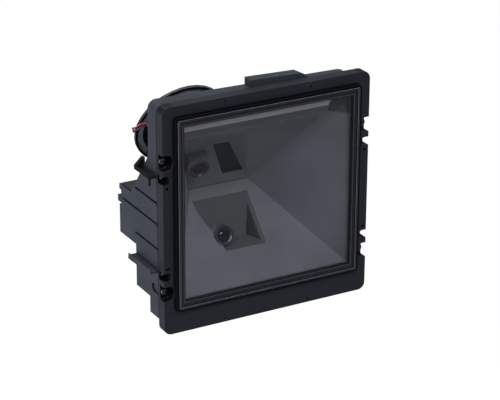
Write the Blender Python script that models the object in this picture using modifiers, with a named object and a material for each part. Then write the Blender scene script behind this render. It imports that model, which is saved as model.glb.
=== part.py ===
"""Fixed barcode reader for building in behind a panel.

Everything is placed from the centre of the reading window: X to the right, Y into the reader and
Z up, seen by somebody who looks at the window. The empty "window_centre" lifts that point so that
the model's own origin lies on the mounting face of the flange, below the window.
"""
from math import cos, pi, radians, sin, tan

import bmesh
import bpy
from mathutils import Euler, Matrix, Vector

# Flange and window rim
FLANGE_WIDTH = 0.148
FLANGE_DEPTH = 0.008
FLANGE_CORNER = 0.005
FLANGE_EDGE = 0.0012
RIM_SIDE_MARGIN = 0.0093
RIM_TOP_MARGIN = 0.00885
RIM_BOTTOM_MARGIN = 0.01735
RIM_WIDTH = FLANGE_WIDTH - 2 * RIM_SIDE_MARGIN
RIM_HEIGHT = 0.1259
FLANGE_TOP = RIM_HEIGHT / 2 + RIM_TOP_MARGIN
FLANGE_BOTTOM = -RIM_HEIGHT / 2 - RIM_BOTTOM_MARGIN
RIM_PROUD = 0.0034
RIM_LIP = 0.0011
RIM_CORNER = 0.0009
LEDGE_WIDTH = 0.00425
LEDGE_HEIGHT = 0.0046
OPENING_WIDTH = RIM_WIDTH - 2 * LEDGE_WIDTH
OPENING_HEIGHT = RIM_HEIGHT - 2 * LEDGE_HEIGHT
MOUNT_BELOW_CENTRE = 0.072

# Window and seals
GLASS_CORNER = 0.0005
GLASS_SET_BACK = 0.0009
GLASS_THICKNESS = 0.003
TAPE_THICKNESS = 0.0008
LEDGE_THICKNESS = 0.0023
GASKET_WIDTH = 0.0015
GASKET_PROUD = 0.0027
GASKET_SEAT_DEPTH = 0.0006

# Fits between pieces
SEAT = 0.0003
CUT_OVER = 0.002

# Light funnel behind the window
FUNNEL_WALL = 0.0019
MOUTH_SPREAD = 0.0004
VALLEY_WALL = 0.0028
FUNNEL_LAP_SIDE = 0.00305
FUNNEL_LAP_HEIGHT = 0.00815
FUNNEL_FLANGE_WIDTH = OPENING_WIDTH + 2 * FUNNEL_LAP_SIDE
FUNNEL_FLANGE_HEIGHT = OPENING_HEIGHT + 2 * FUNNEL_LAP_HEIGHT
FUNNEL_FLANGE = 0.0024
COLLAR_WALL = 0.0010
VALLEY_DEPTH = 0.0536
VALLEY_HEIGHT = -0.0092
VALLEY_LEFT = -0.0280
VALLEY_RIGHT = 0.0150
POCKET_MOUTH_LEAD = 0.0040
UPPER_POCKET_BOTTOM = VALLEY_HEIGHT + 0.0006
UPPER_POCKET_TOP = 0.0380
UPPER_POCKET_MOUTH = (-0.0400, 0.0165, 0.0011, -0.0500)
UPPER_POCKET_BACK = (-0.0400, 0.0163, -0.0150, -0.0500)
LOWER_POCKET_LEDGE = 0.0052
LOWER_POCKET_FRONT = -0.0430
LOWER_POCKET_BACK_FLOOR = -0.0400
LOWER_POCKET_MOUTH = (-0.0158, 0.0139, 0.0128, -0.0292)
LOWER_POCKET_BACK = (-0.0256, 0.0040, 0.0122, -0.0292)
LIGHT_WINDOW_BOTTOM = -0.0012
LIGHT_WINDOW_TOP = 0.0261
LIGHT_WINDOW = (-0.0056, 0.0101, -0.0075, -0.0191)
SIDE_STEP_HEIGHT = 0.0440
SIDE_STEP_TALL = 0.0100
SIDE_STEP_LONG = 0.0105
SIDE_STEP_DEPTH = 0.0011

# Fastening stations at both edges of the flange
STATION_MIDDLE = -0.0081
BIG_SCREW_REACH = 0.0439
SMALL_SCREW_REACH = 0.0325
PIN_HOLE_REACH = 0.0270
STATION_INSET = 0.0030
BIG_RECESS_RADIUS = 0.0050
BIG_RECESS_DEPTH = 0.0058
SMALL_RECESS_RADIUS = 0.0028
SMALL_RECESS_DEPTH = 0.0070
PIN_HOLE_RADIUS = 0.0011
PIN_HOLE_DEPTH = 0.0040
TINY_HOLE_RADIUS = 0.0008
TINY_HOLE_DEPTH = 0.0020
TINY_HOLE_SIDE = 0.0303
TINY_HOLE_TOP = 0.0687
TINY_HOLE_BOTTOM = -0.0780
BOSS_RADIUS = 0.0046
BOSS_INSET = 0.0047
BOSS_LENGTH = 0.0115
SIDE_RECESS_RADIUS = 0.0032
SIDE_RECESS_LENGTH = 0.0090
SIDE_RECESS_DEPTH = 0.0012

# Screws
BIG_HEAD_RADIUS = 0.0028
BIG_HEAD_HEIGHT = 0.0019
BIG_SHANK_RADIUS = 0.0015
BIG_SHANK_LENGTH = 0.0100
SMALL_HEAD_RADIUS = 0.0019
SMALL_HEAD_HEIGHT = 0.0013
SMALL_SHANK_RADIUS = 0.0010
SMALL_SHANK_LENGTH = 0.0060
SCREW_SIDES = 10
PILOT_RADIUS = SMALL_SHANK_RADIUS + 0.0003
PILOT_SIDES = 8

# Main housing
HOUSING_RIGHT_INSET = 0.0070
HOUSING_TOP_INSET = 0.0005
HOUSING_BOTTOM_INSET = 0.0088
HOUSING_LEFT = -FLANGE_WIDTH / 2
HOUSING_RIGHT = FLANGE_WIDTH / 2 - HOUSING_RIGHT_INSET
HOUSING_TOP = FLANGE_TOP - HOUSING_TOP_INSET
HOUSING_TOP_DROP = 0.0023
HOUSING_BOTTOM = FLANGE_BOTTOM + HOUSING_BOTTOM_INSET
HOUSING_WALL = 0.0024
HOUSING_CORNER = 0.0055
LOW_STEP_DEPTH = 0.020
LOW_STEP_HEIGHT = -0.0605
MID_STEP_DEPTH = 0.039
DEEP_BOTTOM = -0.032
DEEP_TOP = 0.0016
DEEP_BACK = 0.0593
SHOULDER_DEPTH = 0.045
NECK_DEPTH = 0.021
NECK_HEIGHT = 0.033
UPPER_DEPTH = 0.0195
BAY_LEFT_INSET = 0.0140
BAY_RIGHT_INSET = 0.0090
BAY_TOP_INSET = 0.0053
BAY_LEFT = HOUSING_LEFT + BAY_LEFT_INSET
BAY_RIGHT = HOUSING_RIGHT - BAY_RIGHT_INSET
BAY_TOP = HOUSING_TOP - BAY_TOP_INSET
BAY_TILT = radians(24.5)
BAY_FOOT_DEPTH = 0.0565
BAY_UNDERLAP = 0.006
LOWER_BAY_LEFT = -0.036
LOWER_BAY_RIGHT = 0.021
LOWER_BAY_REACH = 0.0195
LOWER_BAY_BACK = 0.050
LOWER_BAY_FRONT = 0.028
BOARD_REST_DEPTH = 0.0030
BOARD_REST_WIDTH = 0.0100
BOARD_REST_HEIGHT = 0.0030

# Details of the left wall
RIB_PROUD = 0.0006
RIB_HEIGHT = 0.0011
RIB_FRONT = 0.0085
GROOVE_DEPTH = 0.0010
GROOVE_HEIGHT = 0.0010
RIB_HEIGHTS = (0.0062, -0.0078, -0.0246)
RIB_BACKS = (0.0398, 0.0590, 0.0400)
SHELF_REACH = 0.0052
SHELF_THICKNESS = 0.0014
SHELF_LIP = 0.0012
SHELF_FRONT = 0.0086
UPPER_SHELF_HEIGHT = 0.0246
UPPER_SHELF_BACK = 0.0290
LOWER_SHELF_HEIGHT = -0.0393
LOWER_SHELF_BACK = 0.0398
GUSSET_THICKNESS = 0.0026
GUSSET_RISE = 0.0062
TAB_WIDTH = 0.0014
TAB_DROP = 0.0044
TAB_LENGTH = 0.0012

# Raised block on the top wall
HUMP_LEFT = -0.0065
HUMP_RIGHT = 0.029
HUMP_TOE = 0.037
HUMP_RISE = 0.0039
HUMP_TOP = HOUSING_TOP + HUMP_RISE
HUMP_FRONT = 0.0112

# Rear cover
COVER_THICKNESS = 0.0024
LATCH_WIDTH = 0.0024
LATCH_TOP = -0.0068
LATCH_BOTTOM = -0.0110
LATCH_REACH = 0.0050
COVER_NOTCH_TOP = -0.0021
COVER_NOTCH_BOTTOM = -0.0125
COVER_SCREW_INSET = 0.0050
COVER_BOSS_RADIUS = 0.0030
COVER_BOSS_LENGTH = 0.0100

# Cameras
CAMERA_BOARD_WIDTH = 0.022
CAMERA_BOARD_HEIGHT = 0.018
BOARD_THICKNESS = 0.0012
HOLDER_SIZE = 0.0140
HOLDER_PROUD = 0.0045
BARREL_RADIUS = 0.0060
BARREL_RING_RADIUS = 0.0070
BARREL_FRONT = 0.0092
BARREL_FLOOR = 0.0022
BARREL_GROOVE = 0.0006
BARREL_RINGS = 3
BARREL_SIDES = 16
LENS_RADIUS = 0.0042
LENS_EDGE = 0.0004
LENS_CROWN = 0.0011
SHROUD_WALL = 0.0016
SENSOR_SIZE = 0.0060
SENSOR_THICKNESS = 0.0008
UPPER_CAMERA_SIDE = -0.0306
UPPER_CAMERA_HEIGHT = 0.0160
LOWER_CAMERA_SIDE = -0.0156
LOWER_CAMERA_HEIGHT = -0.0380
LOWER_CAMERA_TILT = radians(26.5)

# Light bar at the top of the window
LIGHT_BAR_SIDE_GAP = 0.0012
LIGHT_BAR_CEILING_GAP = 0.0004
LIGHT_BAR_RIGHT_INSET = 0.01705
LIGHT_BAR_RIGHT = OPENING_WIDTH / 2 - LIGHT_BAR_RIGHT_INSET
LIGHT_BAR_END_SLOPE = 0.62
LIGHT_BAR_TOP_INSET = 0.00095
LIGHT_BAR_HEIGHT = 0.0096
LIGHT_BAR_TOP = OPENING_HEIGHT / 2 - LIGHT_BAR_TOP_INSET
LIGHT_BAR_BOTTOM = LIGHT_BAR_TOP - LIGHT_BAR_HEIGHT
LIGHT_BAR_FRONT = 0.0032
LIGHT_BAR_WALL = 0.0012
LIGHT_BAR_BACK_WALL = 0.0009
DIFFUSER_TOP_INSET = 0.0012
DIFFUSER_HEIGHT = 0.0034
DIFFUSER_TOP = LIGHT_BAR_TOP - DIFFUSER_TOP_INSET
DIFFUSER_BOTTOM = DIFFUSER_TOP - DIFFUSER_HEIGHT
DIFFUSER_PROUD = 0.0003
DIFFUSER_THICKNESS = 0.0011
LED_BOARD_LEVEL = LIGHT_BAR_BOTTOM + 0.0032
LED_BOARD_THICKNESS = 0.0010
LED_BOARD_DEPTH = 0.0025
LED_COUNT = 4
LED_LENGTH = 0.0028
LED_DEPTH = 0.0014
LED_THICKNESS = 0.0008

# Main board and what it carries
MAIN_BOARD_INSET = 0.0085
MAIN_BOARD_LEFT = HOUSING_LEFT + MAIN_BOARD_INSET
MAIN_BOARD_RIGHT = HOUSING_RIGHT - MAIN_BOARD_INSET
MAIN_BOARD_BACK = 0.0588
MAIN_BOARD_EDGE = 0.0010
PROCESSOR_SIZE = 0.014
PROCESSOR_THICKNESS = 0.0014
PROCESSOR_SIDE = MAIN_BOARD_LEFT + 0.0215
MEMORY_WIDTH = 0.011
MEMORY_HEIGHT = 0.008
MEMORY_SIDE = MAIN_BOARD_LEFT + 0.0385
CHIP_DROP = 0.0030
SOCKET_WIDTH = 0.0160
SOCKET_DEPTH = 0.0135
SOCKET_HEIGHT = 0.0145
SOCKET_SIDE = MAIN_BOARD_RIGHT - 0.0145
SOCKET_HOLE_WIDTH = 0.0117
SOCKET_HOLE_DEPTH = 0.0070
SOCKET_HOLE_REACH = 0.0115
LATCH_SLOT_WIDTH = 0.0060
LATCH_SLOT_DEPTH = 0.0022

# Speaker
SPEAKER_SIDE = HOUSING_LEFT + 0.0321
SPEAKER_HEIGHT = BAY_TOP - 0.0226
SPEAKER_RADIUS = 0.0310
SPEAKER_DEPTH = 0.0104
SPEAKER_RIM = 0.0012
SPEAKER_GASKET = 0.0010
SPEAKER_GASKET_WIDTH = 0.0012
SPEAKER_WALL = 0.0014
SOUND_OPENING_RADIUS = 0.0200
SPEAKER_THROAT_RADIUS = 0.0140
MAGNET_RADIUS = 0.0122
MAGNET_HEIGHT = 0.0045
CONE_RADIUS = 0.0250
EAR_RADIUS = 0.0040
EAR_OVERLAP = 0.0006
EAR_REACH = SPEAKER_RADIUS + EAR_RADIUS - EAR_OVERLAP
EAR_ANGLES = (-15, 105)
BASKET_WINDOWS = 6
SPEAKER_SIDES = 32
CONE_SIDES = 24

# Speaker leads
LEAD_RADIUS = 0.00065
LEAD_HOLE_RADIUS = 0.0026
LEAD_HOLE_SIDE = HOUSING_LEFT + 0.0052
LEAD_HOLE_HEIGHT = HOUSING_TOP - 0.0198
LEAD_SPACING = 0.0022
LEAD_INSIDE = (
    (0.0110, 0.0400, -0.0080), (0.0075, 0.0300, 0.0060), (0.0100, 0.0170, 0.0230),
    (0.0108, 0.0140, 0.0350), (0.0078, 0.0130, 0.0440),
)
LEAD_BESIDE_SPEAKER = (
    (-0.0272, -0.0107, -0.0039), (-0.0295, -0.0085, -0.0019), (-0.0318, -0.0044, 0.0000),
    (-0.0322, -0.0006, 0.0023), (-0.0312, 0.0008, 0.0045), (-0.0298, 0.0012, 0.0045),
)
LEAD_STEPS = 3
LEAD_TURN = 0.0009
PLUG_WIDTH = 0.0060
PLUG_HEIGHT = 0.0060
PLUG_DEPTH = 0.0050
PLUG_SIDE = MAIN_BOARD_LEFT + 0.0085
PLUG_LEVEL = -0.0100

FACING_FRONT = Euler((pi / 2, 0, 0))
FACING_SIDE = Euler((pi / 2, 0, pi / 2))

for old_object in list(bpy.data.objects):
    bpy.data.objects.remove(old_object, do_unlink=True)

parts = bpy.data.collections.new("fixed_barcode_reader")
cutters = bpy.data.collections.new("cutters")
bpy.context.scene.collection.children.link(parts)
bpy.context.scene.collection.children.link(cutters)

centre = bpy.data.objects.new("window_centre", None)
centre.location = (0, 0, MOUNT_BELOW_CENTRE)
parts.objects.link(centre)


def material(name, colour, roughness, metallic=0.0, alpha=1.0):
    """One surface finish."""
    made = bpy.data.materials.new(name)
    made.use_nodes = True
    shader = made.node_tree.nodes["Principled BSDF"]
    shader.inputs["Base Color"].default_value = (*colour, 1.0)
    shader.inputs["Roughness"].default_value = roughness
    shader.inputs["Metallic"].default_value = metallic
    shader.inputs["Alpha"].default_value = alpha
    return made


black_abs = material("black_abs", (0.022, 0.023, 0.026), 0.45)
funnel_grey = material("funnel_grey", (0.20, 0.20, 0.215), 0.5)
tinted_glass = material("tinted_glass", (0.10, 0.10, 0.11), 0.05, alpha=0.35)
black_foam = material("black_foam", (0.008, 0.008, 0.008), 0.95)
black_tape = material("black_tape", (0.010, 0.010, 0.011), 0.8)
milky_plastic = material("milky_plastic", (0.75, 0.75, 0.74), 0.4)
board_green = material("board_green", (0.02, 0.10, 0.05), 0.45)
chip_black = material("chip_black", (0.02, 0.02, 0.02), 0.5)
black_steel = material("black_steel", (0.035, 0.034, 0.034), 0.35, metallic=0.8)
black_anodised = material("black_anodised", (0.03, 0.03, 0.032), 0.3, metallic=0.6)
lens_glass = material("lens_glass", (0.05, 0.05, 0.08), 0.03, alpha=0.5)
led_white = material("led_white", (0.85, 0.85, 0.80), 0.35)
socket_black = material("socket_black", (0.025, 0.025, 0.025), 0.4)
speaker_steel = material("speaker_steel", (0.22, 0.22, 0.24), 0.4, metallic=0.7)
speaker_paper = material("speaker_paper", (0.03, 0.03, 0.03), 0.9)
magnet_grey = material("magnet_grey", (0.07, 0.07, 0.075), 0.5, metallic=0.5)
red_vinyl = material("red_vinyl", (0.55, 0.02, 0.03), 0.4)
black_vinyl = material("black_vinyl", (0.02, 0.02, 0.02), 0.4)
white_nylon = material("white_nylon", (0.80, 0.79, 0.74), 0.45)


def place(made, location=(0, 0, 0), rotation=None, parent=centre):
    """Put a piece where it belongs, measured from its parent."""
    made.location = location
    if rotation is not None:
        made.rotation_euler = rotation
    made.parent = parent
    return made


def finish(made, surface, smooth=None):
    """Make an object a visible piece of the reader with its own surface."""
    made.data.materials.clear()
    made.data.materials.append(surface)
    if smooth is not None:
        made.data.shade_smooth()
        made.data.set_sharp_from_angle(angle=radians(smooth))
    parts.objects.link(made)
    return made


def tool(made):
    """Make an object a shape that only cuts or joins others."""
    made.hide_render = True
    made.display_type = "WIRE"
    cutters.objects.link(made)
    return made


def boolean(target, shape, operation):
    """Cut, join or intersect a piece with a tool shape."""
    step = target.modifiers.new(shape.name, "BOOLEAN")
    step.operation = operation
    step.solver = "EXACT"
    step.object = shape
    return target


def cut(target, shape):
    return boolean(target, tool(shape), "DIFFERENCE")


def join(target, shape):
    return boolean(target, tool(shape), "UNION")


def mesh_object(name, work):
    """Turn a bmesh into an object, with its faces pointing out."""
    bmesh.ops.recalc_face_normals(work, faces=work.faces)
    mesh = bpy.data.meshes.new(name)
    work.to_mesh(mesh)
    work.free()
    return bpy.data.objects.new(name, mesh)


def solid_of_curve(name, curve):
    """Turn a curve with a thickness into a closed mesh object."""
    guide = bpy.data.objects.new(name, curve)
    bpy.context.scene.collection.objects.link(guide)
    bpy.context.view_layer.update()
    evaluated = guide.evaluated_get(bpy.context.evaluated_depsgraph_get())
    mesh = bpy.data.meshes.new_from_object(evaluated)
    bpy.data.objects.remove(guide, do_unlink=True)
    work = bmesh.new()
    work.from_mesh(mesh)
    bpy.data.meshes.remove(mesh)
    bmesh.ops.remove_doubles(work, verts=work.verts, dist=0.000002)
    return mesh_object(name, work)


def flat_shape(name, outlines, thickness):
    """A plate from closed outlines: the first is its edge, the others are holes."""
    curve = bpy.data.curves.new(name, "CURVE")
    curve.dimensions = "2D"
    curve.fill_mode = "BOTH"
    curve.extrude = thickness / 2
    for outline in outlines:
        spline = curve.splines.new("POLY")
        spline.points.add(len(outline) - 1)
        for point, (across, up) in zip(spline.points, outline):
            point.co = (across, up, 0, 1)
        spline.use_cyclic_u = True
    return solid_of_curve(name, curve)


def slab(name, outlines, front, back):
    """A plate with its outlines in X and Z, from one depth to another."""
    made = flat_shape(name, outlines, back - front)
    return place(made, (0, (front + back) / 2, 0), FACING_FRONT)


def bar(name, outline, left, right):
    """A prism with its outline in Y and Z, from one side to the other."""
    made = flat_shape(name, [outline], right - left)
    return place(made, ((left + right) / 2, 0, 0), FACING_SIDE)


def box(name, low, high, parent=centre):
    """A block between two opposite corners."""
    work = bmesh.new()
    bmesh.ops.create_cube(work, size=1)
    size = [top - bottom for bottom, top in zip(low, high)]
    bmesh.ops.scale(work, vec=size, verts=work.verts)
    middle = [(bottom + top) / 2 for bottom, top in zip(low, high)]
    return place(mesh_object(name, work), middle, parent=parent)


def rod(name, radius, length, location, rotation=None, sides=24, parent=centre):
    """A cylinder whose low end is at the given place, along its own Z."""
    work = bmesh.new()
    bmesh.ops.create_cone(work, cap_ends=True, segments=sides, radius1=radius, radius2=radius, depth=length)
    bmesh.ops.translate(work, vec=(0, 0, length / 2), verts=work.verts)
    return place(mesh_object(name, work), location, rotation, parent)


def turned(name, profile, sides, location=(0, 0, 0), rotation=None, parent=centre):
    """A turned piece from a profile of (radius, height), from its top down its outer side."""
    mesh = bpy.data.meshes.new(name)
    edges = [(index, index + 1) for index in range(len(profile) - 1)]
    mesh.from_pydata([(radius, 0, height) for radius, height in profile], edges, [])
    made = bpy.data.objects.new(name, mesh)
    spin = made.modifiers.new("turn", "SCREW")
    spin.steps = sides
    spin.render_steps = sides
    spin.use_merge_vertices = True
    spin.merge_threshold = 0.000002
    spin.use_smooth_shade = False
    return place(made, location, rotation, parent)


def loft(name, first_ring, second_ring, parent=centre):
    """A closed solid between two rings with as many corners."""
    work = bmesh.new()
    first = [work.verts.new(point) for point in first_ring]
    second = [work.verts.new(point) for point in second_ring]
    work.faces.new(first)
    work.faces.new(second)
    count = len(first)
    for index in range(count):
        after = (index + 1) % count
        work.faces.new((first[index], first[after], second[after], second[index]))
    return place(mesh_object(name, work), parent=parent)


def rounded(left, right, bottom, top, radius, steps=5, top_radius=None):
    """Outline of a rectangle with round corners."""
    high = radius if top_radius is None else top_radius
    corners = (
        (right - radius, bottom + radius, radius, -90),
        (right - high, top - high, high, 0),
        (left + high, top - high, high, 90),
        (left + radius, bottom + radius, radius, 180),
    )
    points = []
    for across, up, size, start in corners:
        for step in range(steps + 1):
            angle = radians(start + 90 * step / steps)
            points.append((across + size * cos(angle), up + size * sin(angle)))
    return points


def centred(width, height, radius, steps=2):
    """Outline of a round-cornered rectangle about the window's centre."""
    return rounded(-width / 2, width / 2, -height / 2, height / 2, radius, steps)


def grown(outline, distance):
    """Outline moved outwards by a distance, or inwards if it is negative."""
    count = len(outline)
    moved = []
    for index in range(count):
        before = Vector(outline[index - 1])
        here = Vector(outline[index])
        after = Vector(outline[(index + 1) % count])
        arriving = (here - before).normalized()
        leaving = (after - here).normalized()
        out_arriving = Vector((arriving.y, -arriving.x))
        out_leaving = Vector((leaving.y, -leaving.x))
        bisector = out_arriving + out_leaving
        moved.append(tuple(here + bisector * (2 * distance / bisector.length_squared)))
    return moved


def station_places():
    """Name, side and height of each group of fastenings on the flange."""
    for side_name, side in (("left", -1), ("right", 1)):
        for level_name, level in (("upper", 1), ("lower", -1)):
            yield f"{side_name}_{level_name}", side, level


# Depths that follow from the stack at the window
glass_front = GLASS_SET_BACK - RIM_PROUD
glass_back = glass_front + GLASS_THICKNESS
tape_front = glass_back + SEAT
tape_back = tape_front + TAPE_THICKNESS
ledge_front = tape_back + SEAT
ledge_back = ledge_front + LEDGE_THICKNESS
funnel_front = ledge_back + SEAT
housing_front = FLANGE_DEPTH + SEAT
glass_width = RIM_WIDTH - 2 * (RIM_LIP + SEAT)
glass_height = RIM_HEIGHT - 2 * (RIM_LIP + SEAT)
station_side = FLANGE_WIDTH / 2 - STATION_INSET


def build_front_frame():
    """Moulded flange with a raised rim round the window."""
    outline = rounded(-FLANGE_WIDTH / 2, FLANGE_WIDTH / 2, FLANGE_BOTTOM, FLANGE_TOP, FLANGE_CORNER)
    frame = slab("front_frame", [outline], 0, FLANGE_DEPTH)
    edge = frame.modifiers.new("edge", "BEVEL")
    edge.width = FLANGE_EDGE
    edge.segments = 2
    edge.limit_method = "ANGLE"
    edge.angle_limit = radians(60)
    rim = slab("rim", [centred(RIM_WIDTH, RIM_HEIGHT, RIM_CORNER)], -RIM_PROUD, FLANGE_DEPTH / 2)
    seat_width = RIM_WIDTH + 2 * (GASKET_WIDTH + 2 * SEAT)
    seat_height = RIM_HEIGHT + 2 * (GASKET_WIDTH + 2 * SEAT)
    gasket_seat = centred(seat_width, seat_height, RIM_CORNER + GASKET_WIDTH)
    cut(frame, slab("gasket_seat", [gasket_seat], -CUT_OVER, GASKET_SEAT_DEPTH))
    join(frame, rim)
    seat_outline = centred(glass_width + 2 * SEAT, glass_height + 2 * SEAT, GLASS_CORNER)
    cut(frame, slab("glass_seat", [seat_outline], -RIM_PROUD - CUT_OVER, ledge_front))
    way = 2 * (COLLAR_WALL + SEAT)
    opening = centred(OPENING_WIDTH + way, OPENING_HEIGHT + way, GLASS_CORNER, 1)
    cut(frame, slab("opening", [opening], -CUT_OVER, FLANGE_DEPTH + CUT_OVER))
    ring_width = FUNNEL_FLANGE_WIDTH + 2 * SEAT
    ring_height = FUNNEL_FLANGE_HEIGHT + 2 * SEAT
    ring = centred(ring_width, ring_height, RIM_CORNER)
    cut(frame, slab("funnel_seat", [ring], ledge_back, FLANGE_DEPTH + CUT_OVER))
    for name, side, level in station_places():
        across = side * station_side
        notches = (
            ("big_notch", BIG_RECESS_RADIUS, BIG_SCREW_REACH, BIG_RECESS_DEPTH),
            ("small_notch", SMALL_RECESS_RADIUS, SMALL_SCREW_REACH, SMALL_RECESS_DEPTH),
        )
        for kind, radius, reach, depth in notches:
            outline = notch_outline(side, STATION_MIDDLE + level * reach, radius)
            cut(frame, slab(f"{kind}_{name}", [outline], -CUT_OVER, depth))
        holes = (
            ("big_hole", BIG_SHANK_RADIUS + SEAT, BIG_SCREW_REACH, FLANGE_DEPTH + CUT_OVER),
            ("small_hole", SMALL_SHANK_RADIUS + SEAT, SMALL_SCREW_REACH, FLANGE_DEPTH + CUT_OVER),
            ("pin_hole", PIN_HOLE_RADIUS, PIN_HOLE_REACH, PIN_HOLE_DEPTH),
        )
        for kind, radius, reach, depth in holes:
            foot = (across, depth, STATION_MIDDLE + level * reach)
            cut(frame, rod(f"{kind}_{name}", radius, depth + CUT_OVER, foot, FACING_FRONT, PILOT_SIDES))
    for across in (-TINY_HOLE_SIDE, TINY_HOLE_SIDE):
        for height in (TINY_HOLE_TOP, TINY_HOLE_BOTTOM):
            place_at = (across, TINY_HOLE_DEPTH, height)
            hole = rod("tiny_hole", TINY_HOLE_RADIUS, TINY_HOLE_DEPTH + CUT_OVER, place_at, FACING_FRONT, 6)
            cut(frame, hole)
    for index, (across, height) in enumerate(funnel_screw_places()):
        place_at = (across, FLANGE_DEPTH, height)
        depth = FLANGE_DEPTH - funnel_front + SMALL_HEAD_HEIGHT
        cut(frame, rod(f"funnel_pilot_{index}", PILOT_RADIUS, depth, place_at, FACING_FRONT, PILOT_SIDES))
    return finish(frame, black_abs, 40)


def notch_outline(side, height, radius):
    """Outline of a round-ended notch that is open at the flange's edge."""
    edge = side * (FLANGE_WIDTH / 2 + CUT_OVER)
    points = [(edge, height - radius)]
    for step in range(9):
        angle = radians(-90 - side * 180 * step / 8)
        points.append((side * station_side + radius * cos(angle), height + radius * sin(angle)))
    points.append((edge, height + radius))
    return points


def funnel_screw_places():
    """Where the funnel's flange is screwed to the front frame."""
    height = (FUNNEL_FLANGE_HEIGHT + OPENING_HEIGHT) / 4 + FUNNEL_WALL / 2
    for across in (-OPENING_WIDTH / 3, OPENING_WIDTH / 3):
        for level in (-1, 1):
            yield across, level * height


def build_window():
    """Tinted window panel, the tape behind it and the foam round the rim."""
    edge = centred(glass_width, glass_height, GLASS_CORNER)
    finish(slab("window_panel", [edge], glass_front, glass_back), tinted_glass)
    outlines = [edge, centred(OPENING_WIDTH, OPENING_HEIGHT, GLASS_CORNER, 1)]
    finish(slab("window_tape", outlines, tape_front, tape_back), black_tape)
    inner_width = RIM_WIDTH + 2 * SEAT
    inner_height = RIM_HEIGHT + 2 * SEAT
    outlines = [
        centred(inner_width + 2 * GASKET_WIDTH, inner_height + 2 * GASKET_WIDTH, RIM_CORNER + GASKET_WIDTH),
        centred(inner_width, inner_height, RIM_CORNER),
    ]
    gasket = slab("panel_gasket", outlines, -GASKET_PROUD, GASKET_SEAT_DEPTH - SEAT)
    finish(gasket, black_foam)


def funnel_depth(height, front=None):
    """Depth of the funnel's floor or ceiling at a height."""
    start = funnel_front if front is None else front
    end = -OPENING_HEIGHT / 2 if height < VALLEY_HEIGHT else OPENING_HEIGHT / 2
    share = (height - end) / (VALLEY_HEIGHT - end)
    return start + share * (VALLEY_DEPTH - start)


def hip(name, spread, valley_depth, valley_spread, front, lead):
    """Hip-roof solid behind a straight mouth: it closes to a level valley line."""
    half_width = OPENING_WIDTH / 2 + spread
    half_height = OPENING_HEIGHT / 2 + spread
    work = bmesh.new()
    rings = []
    for depth in (front - lead, front):
        rings.append([
            work.verts.new((-half_width, depth, -half_height)),
            work.verts.new((half_width, depth, -half_height)),
            work.verts.new((half_width, depth, half_height)),
            work.verts.new((-half_width, depth, half_height)),
        ])
    mouth, corners = rings
    left = work.verts.new((VALLEY_LEFT - valley_spread, valley_depth, VALLEY_HEIGHT))
    right = work.verts.new((VALLEY_RIGHT + valley_spread, valley_depth, VALLEY_HEIGHT))
    work.faces.new(mouth)
    for index in range(4):
        after = (index + 1) % 4
        work.faces.new((mouth[index], mouth[after], corners[after], corners[index]))
    work.faces.new((corners[0], corners[1], right, left))
    work.faces.new((corners[1], corners[2], right))
    work.faces.new((corners[2], corners[3], left, right))
    work.faces.new((corners[3], corners[0], left))
    return place(mesh_object(name, work))


def upper_back_depth(height):
    """Depth of the wall that carries the upper camera, which leans forward at its top."""
    return VALLEY_DEPTH - (height - VALLEY_HEIGHT) * tan(BAY_TILT)


def lower_back_depth(height):
    """Depth of the wall that carries the lower camera, which leans back at its top."""
    top = VALLEY_HEIGHT - LOWER_POCKET_LEDGE
    return funnel_depth(top) - (top - height) * tan(LOWER_CAMERA_TILT)


def pocket_rings(kind, extra, deeper):
    """Corners of a camera pocket at the funnel's wall and at the pocket's back."""
    if kind == "upper":
        front = corners(UPPER_POCKET_MOUTH, UPPER_POCKET_BOTTOM, UPPER_POCKET_TOP, extra)
        back = corners(UPPER_POCKET_BACK, UPPER_POCKET_BOTTOM, UPPER_POCKET_TOP, extra)
        second = [(across, upper_back_depth(height) + deeper, height) for across, height in back]
    else:
        high = VALLEY_HEIGHT - LOWER_POCKET_LEDGE
        front = corners(LOWER_POCKET_MOUTH, LOWER_POCKET_FRONT, high, extra)
        back = corners(LOWER_POCKET_BACK, LOWER_POCKET_BACK_FLOOR, high, extra)
        second = [(across, lower_back_depth(height) + deeper + SEAT, height) for across, height in back]
    first = [(across, funnel_depth(height) - POCKET_MOUTH_LEAD, height) for across, height in front]
    return first, second


def corners(sides, low, high, extra):
    """Four corners from the sides at the bottom left, bottom right, top right and top left."""
    return (
        (sides[0] - extra, low - extra),
        (sides[1] + extra, low - extra),
        (sides[2] + extra, high + extra),
        (sides[3] - extra, high + extra),
    )


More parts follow.
